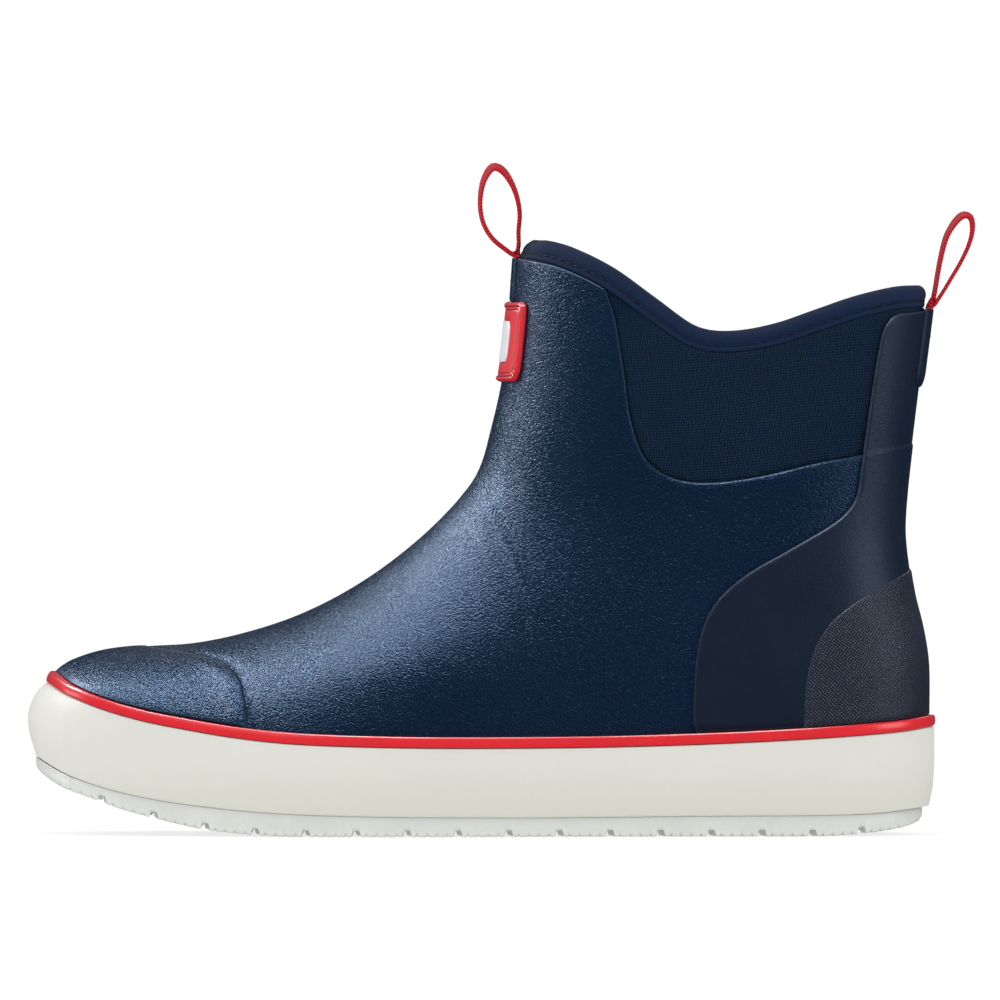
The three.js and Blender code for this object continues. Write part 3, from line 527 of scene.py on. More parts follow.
def panel(name, material, low, high, cuts, node, shape=None, lines=()):
    """A closed patch of the skin between two lifts. cuts is {field: (depth kept from, rim radius)};
    shape(data) adds to the outer lift, and lines are (field, level) that the mesh has to follow."""
    keep = np.ones(len(last.x), bool)
    for field, (level, _) in cuts.items():
        keep &= FIELDS[field] > level
    patch = Patch(last.triangles[keep[last.triangles].any(1)], LAST_DATA | FIELDS)
    for field, (level, radius) in cuts.items():
        patch.cut_at(field, level, radius)
    for field, level in lines:
        patch.split(field, level)
    patch.finish()
    data = patch.data
    points, normals = skin(data["x"], data["z"], data["side"])
    rise, rim = np.ones(len(points)), np.full(len(points), FAR_FROM_RIM)
    for field, (level, radius) in cuts.items():
        if radius:
            rise = np.minimum(rise, rounded(data[field] - level, radius))
            rim = np.minimum(rim, data[field] - level)
    top = high + (shape(data) if shape else 0)
    # A panel's inside thins towards the tip of the toe, where the skin turns sharply.
    under = low * (mix(0.3, 1, smooth(TOE_TIP, TOE_TIP + 20, data["x"])) if low < 0 else 1)
    over = under + THINNEST_RIM + (top - under - THINNEST_RIM) * rise
    points, faces = closed_shell(
        patch.triangles, points + normals * np.broadcast_to(under, len(points))[:, None],
        points + normals * over[:, None])
    where = np.tile(np.stack((data["around"], data["up"], rim), -1), (2, 1))
    make_piece(name, points, faces, material, "boot", node, where)


# ---- rings that follow the sole line or the collar ----

def even_loop(points, normals, spacing):
    """The same closed loop at even spacing, with how far round each point is."""
    closed = np.vstack((points, points[:1]))
    length = np.r_[0, np.cumsum(np.linalg.norm(np.diff(closed, axis=0), axis=1))]
    count = int(length[-1] / spacing)
    at = np.linspace(0, length[-1], count, endpoint=False)
    normals = np.vstack((normals, normals[:1]))
    place = np.stack([np.interp(at, length, closed[:, k]) for k in range(3)], -1)
    out = np.stack([np.interp(at, length, normals[:, k]) for k in range(3)], -1)
    return place, unit(out), at


def loop_of(line, x_front, x_back, count=700):
    """The skin's loop over a line of the side view, outer side first."""
    x = mix(x_front, x_back, (1 - np.cos(np.linspace(0, math.pi, count))) / 2)
    x = np.r_[x, x[-2:0:-1]]
    side = np.r_[0, np.full(count - 2, -1), 0, np.full(count - 2, 1)]
    return skin(x, line(x), side)


sole_points, sole_normals = loop_of(sole_line, TOE_TIP, HEEL_END)
sole_normals[:, 2] = 0
SOLE = even_loop(sole_points, unit(sole_normals), 2.2)
collar_points, collar_normals = loop_of(collar_line, COLLAR_FRONT, COLLAR_BACK)
COLLAR = even_loop(collar_points, collar_normals, 0.75)


def ring_faces(rounds, across):
    faces = []
    for i in range(rounds):
        j = (i + 1) % rounds
        for k in range(across):
            m = (k + 1) % across
            faces.append((i * across + k, j * across + k, j * across + m, i * across + m))
    return faces


def ring_piece(name, sections, around, material, node):
    """sections[k] holds the points of the k-th line round the ring."""
    rounds, across = len(sections[0]), len(sections)
    points = np.stack(sections, 1).reshape(-1, 3)
    girth = np.zeros((rounds, across))
    girth[:, 1:] = np.cumsum(np.linalg.norm(np.diff(np.stack(sections, 1), axis=1), axis=2), 1)
    where = np.stack((np.repeat(around, across), girth.ravel(), np.full(girth.size, FAR_FROM_RIM)), -1)
    make_piece(name, points, ring_faces(rounds, across), material, "boot", node, where)


def at_height(out, z):
    place, normal, _ = SOLE
    points = place + normal * np.broadcast_to(out, len(place))[:, None]
    points[:, 2] = z
    return points


# How far the sole's edge faces the toe or the heel.
toeward = np.maximum(0, -SOLE[1][:, 0]) ** 1.6
heelward = np.maximum(0, SOLE[1][:, 0]) ** 1.6
sole_x = SOLE[0][:, 0]


# ---- shader groups ----

class Nodes:
    """Builds nodes in one tree. An input is given as a number, a colour or the socket that feeds it."""

    def __init__(self, tree):
        self.tree = tree

    def add(self, kind, settings=None, **inputs):
        """A node with plain settings. Inputs go by name, or by number as _0, _1 and _2."""
        node = self.tree.nodes.new(kind)
        for key, value in (settings or {}).items():
            setattr(node, key, value)
        for key, value in inputs.items():
            socket = node.inputs[int(key[1:]) if key[1:].isdigit() else key.replace("_", " ")]
            if isinstance(value, bpy.types.NodeSocket):
                self.tree.links.new(value, socket)
            else:
                socket.default_value = value
        return node

    def maths(self, operation, a, b=0.0, c=0.0):
        return self.add("ShaderNodeMath", {"operation": operation}, _0=a, _1=b, _2=c).outputs[0]

    def times(self, a, b, plus=0.0):
        return self.maths("MULTIPLY_ADD", a, b, plus)

    def vector(self, operation, a, **inputs):
        return self.add("ShaderNodeVectorMath", {"operation": operation}, _0=a, **inputs).outputs[0]

    def wave(self, value):
        """0 at every whole number, and 1 or -1 between them."""
        return self.maths("SINE", self.times(value, math.pi))

    def ramp(self, value, *stops):
        """A soft step: stops are (position, grey)."""
        node = self.add("ShaderNodeValToRGB", Fac=value)
        elements = node.color_ramp.elements
        while len(elements) < len(stops):
            elements.new(0.5)
        for element, (position, grey) in zip(elements, stops):
            element.position = position
            element.color = (grey, grey, grey, 1)
        return node.outputs[0]

    def place(self):
        return self.add("ShaderNodeTexCoord").outputs["Object"]

    def noise(self, scale, detail, roughness=0.5, place=None):
        """Even noise through the piece, from 0 to 1. The finer it is, the larger its scale."""
        place = self.place() if place is None else place
        return self.add("ShaderNodeTexNoise", Vector=place, Scale=scale, Detail=detail,
                        Roughness=roughness).outputs["Fac"]

    def cut_map(self):
        """Round the boot, up from the sole and in from the rim, in metres."""
        place = self.add("ShaderNodeAttribute", {"attribute_name": "cut_map"}).outputs["Vector"]
        return self.add("ShaderNodeSeparateXYZ", Vector=place).outputs

    def lattice(self, pitch):
        """Diamonds round and up the boot: 1 in the middle of each, and 0 along their sides."""
        around, up, _ = self.cut_map()
        across, rise = self.maths("DIVIDE", around, pitch), self.maths("DIVIDE", up, pitch)
        one, two = (self.wave(self.maths(way, across, rise)) for way in ("ADD", "SUBTRACT"))
        return self.maths("ABSOLUTE", self.times(one, two))


class Group(Nodes):
    """A node group. Its inputs, {name: value}, and its outputs are all numbers."""

    def __init__(self, name, inputs, outputs):
        super().__init__(bpy.data.node_groups.new(name, "ShaderNodeTree"))
        for title, value in inputs.items():
            socket = self.tree.interface.new_socket(title, in_out="INPUT", socket_type="NodeSocketFloat")
            socket.default_value = value
        for title in outputs:
            self.tree.interface.new_socket(title, in_out="OUTPUT", socket_type="NodeSocketFloat")
        self.given = self.tree.nodes.new("NodeGroupInput").outputs
        self.result = self.tree.nodes.new("NodeGroupOutput").inputs

    def put(self, title, value):
        self.tree.links.new(value, self.result[title])


def pebble_grain():
    """Moulded pebble grain: raised cells with creases between, broken up so that no two are alike."""
    g = Group("pebble_grain", {"Cell Size": 0.001}, ("Height", "Crease"))
    size, place = g.given["Cell Size"], g.place()
    scale = g.maths("DIVIDE", 1.0, size)
    bend = g.add("ShaderNodeTexNoise", Vector=place, Scale=g.times(scale, 0.55), Detail=2.0)
    centred = g.vector("SUBTRACT", bend.outputs["Color"], _1=(0.5, 0.5, 0.5))
    bent = g.vector("ADD", place, _1=g.vector("SCALE", centred, Scale=g.times(size, 1.5)))
    cells = g.add("ShaderNodeTexVoronoi", {"feature": "SMOOTH_F1"}, Vector=bent, Scale=scale,
                  Smoothness=0.35, Randomness=1.0)
    dome = g.ramp(cells.outputs["Distance"], (0.0, 1.0), (0.45, 0.62), (0.85, 0.0))
    height = g.times(g.noise(g.times(scale, 1.3), 3.0, 0.6, place=bent), 0.55, dome)
    g.put("Height", height)
    g.put("Crease", g.ramp(height, (0.35, 1.0), (0.75, 0.0)))
    return g.tree


def soft_mottle():
    """Slow, uneven tone: handling marks and the slight cloudiness of moulded rubber."""
    g = Group("soft_mottle", {"Patch Size": 0.03, "Strength": 0.3}, ("Tone",))
    wide = g.noise(g.maths("DIVIDE", 1.0, g.given["Patch Size"]), 4.0, 0.55)
    g.put("Tone", g.times(g.maths("SUBTRACT", wide, 0.5), g.given["Strength"], 1.0))
    return g.tree


def rim_band():
    """A band along a panel's rim: 1 at the rim, fading inwards, with small breaks. Some finishes paint a
    highlight with it, others a plain rim.
    """
    g = Group("rim_band", {"Rim Width": 0.0006}, ("Mask",))
    fading = g.maths("SUBTRACT", 1.0, g.maths("DIVIDE", g.cut_map()[2], g.given["Rim Width"]))
    breaks = g.ramp(g.noise(900.0, 2.0), (0.3, 0.35), (0.6, 1.0))
    g.put("Mask", g.times(g.add("ShaderNodeClamp", Value=fading).outputs[0], breaks))
    return g.tree


def fine_knit():
    """Jersey face: columns of small loops, set out round and up the boot."""
    g = Group("fine_knit", {"Column Width": 0.0008, "Loop Height": 0.0006}, ("Height", "Tone"))
    around, up, _ = g.cut_map()
    slip = g.times(g.maths("SUBTRACT", g.noise(420.0, 2.0), 0.5), 0.0016)
    column = g.maths("DIVIDE", g.maths("ADD", around, slip), g.given["Column Width"])
    rows = g.maths("DIVIDE", up, g.given["Loop Height"])
    swing = g.maths("ABSOLUTE", g.wave(column))
    loops = g.maths("ABSOLUTE", g.wave(g.times(swing, 0.5, rows)))
    height = g.times(g.maths("POWER", swing, 0.6), g.maths("POWER", loops, 0.5))
    fibre = g.noise(3500.0, 2.0)
    g.put("Height", g.times(fibre, 0.25, height))
    # the tone is partly the fibres' own random tone and partly painted shade: lighter on the loops, lower
    # between them
    g.put("Tone", g.times(fibre, 0.5, g.times(height, 0.6)))
    return g.tree


def stud_lattice():
    """Small raised studs on a diagonal lattice, round and up the boot."""
    g = Group("stud_lattice", {"Pitch": 0.00125}, ("Height", "Top"))
    height = g.add("ShaderNodeMapRange", {"interpolation_type": "SMOOTHSTEP"},
                   Value=g.lattice(g.given["Pitch"]), From_Min=0.18, From_Max=0.75).outputs[0]
    g.put("Height", height)
    g.put("Top", g.maths("POWER", height, 2.0))
    return g.tree


PEBBLE_GRAIN = pebble_grain()
SOFT_MOTTLE = soft_mottle()
RIM_BAND = rim_band()
FINE_KNIT = fine_knit()
STUD_LATTICE = stud_lattice()


# ---- finishes ----

HIGHLIGHT_RIM_WIDTH = 0.0006  # width of the painted highlight along a rim


class Finish(Nodes):
    """A material with one Principled shader, and small helpers to feed it."""

    def __init__(self, name, colour, roughness, **plain):
        self.material = bpy.data.materials.new(name)
        self.material.use_nodes = True
        super().__init__(self.material.node_tree)
        self.shader = self.tree.nodes["Principled BSDF"]
        self.colour = (*colour, 1.0)
        self.material.diffuse_color = self.colour
        self.shader.inputs["Base Color"].default_value = self.colour
        self.shader.inputs["Roughness"].default_value = roughness
        for key, value in plain.items():
            self.shader.inputs[key.replace("_", " ")].default_value = value

    def use(self, group, **values):
        return self.add("ShaderNodeGroup", {"node_tree": group}, **values).outputs

    def mottle(self, patch_size, strength):
        return self.use(SOFT_MOTTLE, Patch_Size=patch_size, Strength=strength)["Tone"]

    def toned(self, tone):
        """The finish's colour made lighter or darker by a value around 1."""
        return self.vector("SCALE", self.colour[:3], Scale=tone)

    def blended(self, factor, a, b):
        node = self.add("ShaderNodeMix", {"data_type": "RGBA"}, Factor=factor)
        for socket, value in ((node.inputs[6], a), (node.inputs[7], b)):
            if isinstance(value, bpy.types.NodeSocket):
                self.tree.links.new(value, socket)
            else:
                socket.default_value = (*value, 1.0)
        return node.outputs[2]

    def feed(self, socket, value):
        self.tree.links.new(value, self.shader.inputs[socket])

    def bump(self, height, depth, strength=1.0):
        """Relief of the given depth in metres."""
        self.feed("Normal", self.add("ShaderNodeBump", Strength=strength, Distance=depth,
                                     Height=height).outputs[0])

    def moulded_haze(self, scale, detail, depth, strength):
        """The fine uneven relief of moulded rubber. Returns its height, from 0 to 1."""
        height = self.noise(scale, detail)
        self.bump(height, depth, strength)
        return height


def navy_grained_rubber(name, plain_width):
    """Grained rubber whose rim is plain, as the mould leaves it, over the plain width."""
    f = Finish(name, (0.0026, 0.0112, 0.033), 0.32, Specular_IOR_Level=0.5,
               Specular_Tint=(0.34, 0.60, 1.0, 1.0))
    grain = f.use(PEBBLE_GRAIN, Cell_Size=0.00056)
    tone = f.mottle(0.04, 0.35)
    # painted shade: the base colour darkens in the creases of the pebble grain
    crease_shade = f.times(grain["Crease"], 0.55)
    f.feed("Base Color", f.blended(crease_shade, f.toned(tone), (0.0015, 0.006, 0.018)))
    plain_rim = f.use(RIM_BAND, Rim_Width=plain_width)["Mask"]
    f.feed("Roughness", f.times(plain_rim, 0.30, f.times(grain["Crease"], 0.10, f.times(tone, 0.25))))
    f.bump(f.times(grain["Height"], f.maths("SUBTRACT", 1.0, plain_rim)), 0.00016)
    return f.material


def navy_smooth_rubber(name, rim_highlight):
    """Plain rubber, with a lighter line painted along its rim as a highlight; the second argument sets how
    strong it is.
    """
    f = Finish(name, (0.0030, 0.0095, 0.028), 0.46, Specular_IOR_Level=0.40,
               Specular_Tint=(0.66, 0.78, 1.0, 1.0))
    tone = f.mottle(0.03, 0.4)
    # painted highlight: a lighter line along the rim
    painted_rim_highlight = f.times(f.use(RIM_BAND, Rim_Width=HIGHLIGHT_RIM_WIDTH)["Mask"], rim_highlight)
    f.feed("Base Color", f.blended(painted_rim_highlight, f.toned(tone), (0.075, 0.095, 0.135)))
    grit = f.use(PEBBLE_GRAIN, Cell_Size=0.0006)
    f.feed("Roughness", f.times(grit["Crease"], 0.08, f.times(tone, 0.45)))
    f.bump(grit["Height"], 0.00006, 0.8)
    return f.material


def navy_studded_rubber():
    f = Finish("navy_studded_rubber", (0.0042, 0.0092, 0.025), 0.5, Specular_IOR_Level=0.5,
               Specular_Tint=(0.75, 0.84, 1.0, 1.0))
    studs = f.use(STUD_LATTICE, Pitch=0.00125)
    # painted highlight: the studs' tops are coloured lighter
    studded = f.blended(f.times(studs["Top"], 0.35), f.toned(f.mottle(0.03, 0.4)), (0.045, 0.058, 0.088))
    # painted highlight: a lighter line along the rim
    painted_rim_highlight = f.times(f.use(RIM_BAND, Rim_Width=HIGHLIGHT_RIM_WIDTH)["Mask"], 0.4)
    f.feed("Base Color", f.blended(painted_rim_highlight, studded, (0.06, 0.08, 0.12)))
    f.bump(studs["Height"], 0.0003)
    return f.material


def knit_fabric(name, colour, column, loop, sheen, depth=0.00018):
    """Knitted cloth, its columns and loops of the given sizes."""
    f = Finish(name, colour, 0.9, Sheen_Weight=sheen, Sheen_Roughness=0.4, Specular_IOR_Level=0.1,
               Sheen_Tint=(0.55, 0.75, 1.0, 1.0))
    knit = f.use(FINE_KNIT, Column_Width=column, Loop_Height=loop)
    # the knit's tone carries painted shade between the loops as well as the fibres' own tone
    f.feed("Base Color", f.toned(f.times(f.mottle(0.025, 0.3), f.times(knit["Tone"], 2.4, -0.4))))
    f.bump(knit["Height"], depth, 0.9)
    return f.material


def red_bead_rubber():
    f = Finish("red_bead_rubber", (0.76, 0.006, 0.017), 0.30, Coat_Weight=0.25, Coat_Roughness=0.2)
    f.feed("Base Color", f.toned(f.mottle(0.02, 0.25)))
    f.feed("Roughness", f.times(f.moulded_haze(700.0, 3.0, 0.00003, 0.6), 0.14, 0.24))
    return f.material


def sidewall_rubber():
    """Off-white rubber, a little creamier towards the ground."""
    f = Finish("sidewall_rubber", (0.70, 0.70, 0.645), 0.56, Specular_IOR_Level=0.3,
               Subsurface_Weight=0.25, Subsurface_Radius=(0.006, 0.005, 0.004), Subsurface_Scale=1.0)
    height = f.add("ShaderNodeSeparateXYZ", Vector=f.place()).outputs[2]
    high = f.add("ShaderNodeMapRange", Value=height, From_Min=0.006, From_Max=0.024).outputs[0]
    f.feed("Base Color", f.blended(high, (0.665, 0.66, 0.585), f.toned(f.mottle(0.05, 0.10))))
    f.feed("Roughness", f.times(f.moulded_haze(420.0, 4.0, 0.00004, 0.6), 0.16, 0.50))
    return f.material


def milky_rubber():
    f = Finish("milky_rubber", (0.675, 0.69, 0.655), 0.42, Subsurface_Weight=0.45,
               Subsurface_Radius=(0.006, 0.006, 0.005), Subsurface_Scale=1.0, Specular_IOR_Level=0.45)
    f.feed("Base Color", f.toned(f.mottle(0.015, 0.14)))
    f.feed("Roughness", f.times(f.moulded_haze(600.0, 3.0, 0.00005, 0.7), 0.2, 0.32))
    return f.material


def red_webbing():
    """Flat woven tape: a close twill of fibres that vary in tone, with painted shade where they dip."""
    f = Finish("red_webbing", (0.60, 0.012, 0.024), 0.8, Specular_IOR_Level=0.12)
    weave = f.lattice(0.0011)
    # painted shade along the lattice's lines, where the fibres dip; the noise is the fibres' own tone
    light = f.times(f.noise(4000.0, 2.0), 0.45, weave)
    f.feed("Base Color", f.blended(light, (0.09, 0.001, 0.004), (0.80, 0.010, 0.024)))
    f.bump(weave, 0.00025)
    return f.material


def plain_finish(name, colour, roughness, grain_size, depth):
    f = Finish(name, colour, roughness, Specular_IOR_Level=0.2)
    f.feed("Base Color", f.toned(f.mottle(0.012, 0.35)))
    grit = f.use(PEBBLE_GRAIN, Cell_Size=grain_size)
    f.feed("Roughness", f.times(grit["Crease"], 0.1, roughness))
    f.bump(grit["Height"], depth, 0.7)
    return f.material


def inlay_rubber():
    f = Finish("inlay_rubber", (0.80, 0.80, 0.83), 0.42)
    f.feed("Base Color", f.toned(f.times(f.moulded_haze(500.0, 3.0, 0.00004, 0.6), 0.12, 0.94)))
    return f.material


def red_badge_rubber():
    """The badge's red, with painted shade along the two grooves moulded just inside its rim."""
    f = Finish("red_badge_rubber", (0.76, 0.008, 0.020), 0.38, Coat_Weight=0.15, Coat_Roughness=0.3)
    inward = f.cut_map()[2]
    lines = []
    for depth in (0.0016, 0.0026):
        off = f.maths("ABSOLUTE", f.maths("SUBTRACT", inward, depth))
        lines.append(f.ramp(f.maths("DIVIDE", off, 0.0004), (0.35, 1.0), (0.75, 0.0)))
    # painted shade: the red is blackened along the two grooves
    groove_shade = f.times(f.maths("MAXIMUM", *lines), 0.85)
    f.feed("Base Color", f.blended(groove_shade, f.toned(f.mottle(0.008, 0.2)), (0.10, 0.004, 0.008)))
    f.bump(f.use(PEBBLE_GRAIN, Cell_Size=0.0004)["Height"], 0.00004, 0.7)
    return f.material


GRAINED = navy_grained_rubber("navy_grained_rubber", 0.0017)
GRAINED_TAB = navy_grained_rubber("navy_grained_tab", 0.0007)
SMOOTH = navy_smooth_rubber("navy_smooth_rubber", 0.6)
SMOOTH_TAB = navy_smooth_rubber("navy_smooth_tab", 0.1)
STUDDED = navy_studded_rubber()
NEOPRENE = knit_fabric("navy_neoprene_knit", (0.0030, 0.0155, 0.0380), 0.00105, 0.00090, 0.012, 0.00045)
BINDING = knit_fabric("navy_binding_tape", (0.0072, 0.0180, 0.054), 0.00045, 0.0004, 0.04, 0.00010)
LINING_KNIT = knit_fabric("lining_knit", (0.018, 0.021, 0.028), 0.0011, 0.0009, 0.3)
THREAD = plain_finish("navy_thread", (0.006, 0.012, 0.032), 0.75, 0.0003, 0.00005)
RED_BEAD = red_bead_rubber()
RED_BADGE = red_badge_rubber()
SIDEWALL = sidewall_rubber()
MILKY = milky_rubber()
WEBBING = red_webbing()
INLAY = inlay_rubber()
FOAM = plain_finish("midsole_foam", (0.48, 0.47, 0.42), 0.9, 0.0012, 0.0002)
FIBRE_BOARD = plain_finish("fibre_board", (0.33, 0.27, 0.19), 0.85, 0.0007, 0.0001)
NYLON = plain_finish("shank_nylon", (0.024, 0.024, 0.024), 0.45, 0.0009, 0.00008)


# ---- the upper ----

def vamp_relief(data):
    """The flex line moulded over the instep: a soft fold in front and a hollow behind, and the valley
    beside the toe bumper."""
    crease = spline([(-2, 119), (2, 110), (6.3, 101.3), (11, 91), (14.7, 80.3), (17, 70)])
    place = np.stack((data["x"], data["z"]), -1)
    gaps = np.sqrt(((place[:, None] - crease) ** 2).sum(-1))
    gap, nearest = gaps.min(1), gaps.argmin(1)
    ahead = np.where(data["x"] < crease[nearest, 0], 1, -1) * gap
    fading = smooth(118, 108, data["z"]) * smooth(70, 82, data["z"])
    fold = 0.3 * np.exp(-((ahead - 4.0) / 3.4) ** 2) - 0.75 * np.exp(-((ahead + 0.3) / 1.3) ** 2)
    dimple = 0.6 * np.exp(-(((data["x"] - 1.5) / 4) ** 2 + ((data["z"] - 109) / 4.5) ** 2))
    valley = -0.6 * np.exp(-((data["toe_cap"] + 1.4) / 1.6) ** 2) * smooth(-104, -90, data["x"])
    return fold * fading + dimple + valley


def neoprene_relief(data):
    return 0.7 * smooth(0, 16, data["window"])


def counter_relief(data):
    """The rubber sheet underneath ends at the panel's line, which shows through as a low step."""
    return 0.4 * smooth(0.4, -0.4, data["window"])


def toe_cap_relief(data):
    """The bumper is proud along its rear edge and melts into the vamp over the top of the toe."""
    from_ridge = behind_front(data["x"], data["z"])[0]
    rear = smooth(-100, -84, data["x"])
    return 0.5 * rear * np.exp(-((data["toe_cap"] - 4.2) / 2.0) ** 2) - 0.85 * smooth(13, 1, from_ridge)


def outer_panels():
    panel("vamp_rubber", GRAINED, -1.9, 0.0,
          {"skirt": (0, 0), "collar": (0, 0.6), "not_window": (0, 0.9), "not_counter": (-8, 0)},
          node="vamp_shell", shape=vamp_relief)
    panel("stretch_panel", NEOPRENE, -2.0, -1.2, {"window": (0.12, 0)}, node="neoprene_panel",
          shape=neoprene_relief)
    panel("heel_quarter_rubber", GRAINED, -1.9, -0.05,
          {"skirt": (0, 0), "not_window": (0, 0), "counter": (8.4, 0)}, node="heel_quarter")
    panel("back_counter_rubber", SMOOTH, 0.25, 1.15, {"skirt": (2.9, 0.3), "counter": (0, 0.8)},
          node="back_counter", shape=counter_relief,
          lines=[("window", level) for level in (0.5, 0.15, -0.15, -0.5)])
    panel("heel_kick_patch", STUDDED, 1.2, 2.1, {"skirt": (2.9, 0.3), "patch": (0, 0.7)},
          node="heel_patch")
    panel("toe_bumper", GRAINED, 0.05, 1.45, {"skirt": (2.9, 0.3), "toe_cap": (0, 4.4)}, node="toe_cap",
          shape=toe_cap_relief)
    panel("bootie_lining", LINING_KNIT, -5.3, -2.3, {"skirt": (-6.0, 0)}, node="lining_bootie")


def badge_relief(data):
    """A raised rim with a double groove inside it, and a pocket for the inlay."""
    depth = data["badge"]
    rim = 0.4 * smooth(0.2, 0.6, depth) * smooth(1.4, 1.1, depth)
    groove = -0.45 * np.exp(-((depth - 1.6) / 0.25) ** 2) - 0.25 * np.exp(-((depth - 2.6) / 0.22) ** 2)
    return rim + groove - 0.7 * smooth(-0.45, -0.2, data["inlay"])


def badge_and_tabs():
    panel("front_badge", RED_BADGE, 0.3, 1.7, {"badge": (0, 0.8)}, node="badge_base",
          shape=badge_relief,
          lines=[("badge", level) for level in (0.95, 1.2, 1.4, 1.6, 1.8, 2.05, 2.35, 2.6, 2.85, 3.2)]
          + [("inlay", -0.45), ("inlay", -0.2)])
    panel("front_badge_inlay", INLAY, 1.3, 2.0, {"inlay": (0, 0.4)}, node="badge_inlay")
    panel("front_loop_tab", GRAINED_TAB, 0.03, 0.65, {"collar": (0, 0.4), "front_tab": (0, 1.8)},
          node="front_anchor_tab")
    panel("rear_loop_tab", SMOOTH_TAB, 1.18, 2.8, {"collar": (0, 0.5), "rear_tab": (0, 5.5)},
          node="rear_anchor_tab")


outer_panels()
badge_and_tabs()


# ---- sole ----

def over_knots(stations, heights):
    """Weights of a smooth curve's knots at given heights, so that many curves can share them."""
    eye = np.eye(len(stations))
    return np.stack([through(np.c_[stations, row])(heights) for row in eye], -1)


def sidewall():
    """The foxing: a tall band that bellies out, with rounded lower and upper edges."""
    top = sole_line(sole_x) - STRIPE_HEIGHT - 0.2
    belly = 4.6 + 5.2 * toeward - 0.9 * heelward
    foot = 3.6 + 3.9 * toeward - 1.3 * heelward
    low = parting_line(sole_x + SOLE[1][:, 0] * foot) + 0.05
    height = top - low
    share = np.r_[0, 0.012, 0.03, 0.06, 0.1, np.linspace(0.16, 0.84, 12), 0.9, 0.94, 0.97, 0.988, 1]
    weights = over_knots([0, 0.07, 0.28, 0.55, 0.84, 1], share)
    knots = np.stack((foot - 0.4, foot, mix(foot, belly, 0.7), belly, mix(3.7, belly, 0.6),
                      np.full(len(foot), 3.75)))
    face = weights @ knots
    sections = [at_height(0.3, low)]
    for row, s in zip(face, share):
        foot_round = 0.25 * (1 - rounded(s * height, 0.25))
        lip_round = 0.6 * (1 - rounded((1 - s) * height, 0.6))
        sections.append(at_height(row - foot_round - lip_round, low + s * height))
    sections.append(at_height(0.3, top))
    ring_piece("sidewall_band", sections, SOLE[2], SIDEWALL, node="sidewall_foxing")


def stripe():
    """The red bead along the top of the sidewall. Round the toe its face lies back."""
    top = sole_line(sole_x)
    middle = top - STRIPE_HEIGHT / 2
    sections = [at_height(0.3, top - STRIPE_HEIGHT)]
    for turn in np.linspace(-math.pi / 2, math.pi / 2, 17):
        out = 3.0 + 1.05 * abs(math.cos(turn)) ** 0.62 - 0.7 * toeward * (1 + math.sin(turn))
        sections.append(at_height(out, middle + STRIPE_HEIGHT / 2 * math.sin(turn)))
    sections.append(at_height(0.3, top))
    ring_piece("red_bead", sections, SOLE[2], RED_BEAD, node="foxing_stripe")


def plan_of_sole(reach):
    place, normal, _ = SOLE
    return (place + normal * np.broadcast_to(reach, len(place))[:, None])[:, :2]


def depth_in_plan(outline, x, y):
    """How far each point lies inside a closed outline seen from above."""
    inside = is_inside(outline, x, y)
    step = np.roll(outline, -1, 0) - outline
    gap = np.empty(len(x))
    for first in range(0, len(x), 4000):
        part = slice(first, first + 4000)
        gap[part] = np.sqrt(from_nearest(np.stack((x[part], y[part]), -1), outline, step)[1].min(1))
    return np.where(inside, gap, -gap)


def sole_plate(name, material, low, high, rows, columns, node, reach=0.0, inset=0.0,
               low_radius=0.0, high_radius=0.0, shift=lambda y: 0 * y):
    """A closed plate with the sole's plan. Its rows run across the boot, each shifted fore and aft by
    shift(y); low and high are heights as functions of (x, row, y)."""
    row, y = (g.ravel() for g in np.meshgrid(rows, columns, indexing="ij"))
    x = row + shift(y)
    depth = depth_in_plan(plan_of_sole(reach), x, y)
    table = np.arange(len(x)).reshape(len(rows), len(columns))
    a, b, c, d = (t.ravel() for t in (table[:-1, :-1], table[1:, :-1], table[1:, 1:], table[:-1, 1:]))
    triangles = np.concatenate((np.stack((a, b, c), -1), np.stack((a, c, d), -1)))
    zero = np.zeros(len(x), int)
    patch = Patch(triangles[(depth[triangles] > inset).any(1)],
                  {"x": x, "z": y, "row": row, "depth": depth, "side": zero, "on": zero})
    patch.cut_at("depth", inset, max(low_radius, high_radius))
    patch.finish()
    data = patch.data
    x, y, depth = data["x"], data["z"], data["depth"] - inset

    def edged(radius):
        return radius * (1 - rounded(depth, radius)) if radius else 0

    under = low(x, data["row"], y) + edged(low_radius)
    over = high(x, data["row"], y) - edged(high_radius)
    points, faces = closed_shell(patch.triangles, np.stack((x, y, under), -1), np.stack((x, y, over), -1))
    where = np.tile(np.stack((x, y, depth), -1), (2, 1))
    make_piece(name, points, faces, material, "boot", node, where)


GROOVE_PITCH, GROOVE_COUNT, FIRST_GROOVE_X = 16.74, 16, -125.6
SIPES = 4  # fine cuts on each lug, between two grooves
# The grooves' places across the sole, and how far they shift fore or aft there.
ZIGZAG = ([-100, -38, -19, 0, 19, 38, 100], [0, 1, -1, 1, -1, 1, 0])


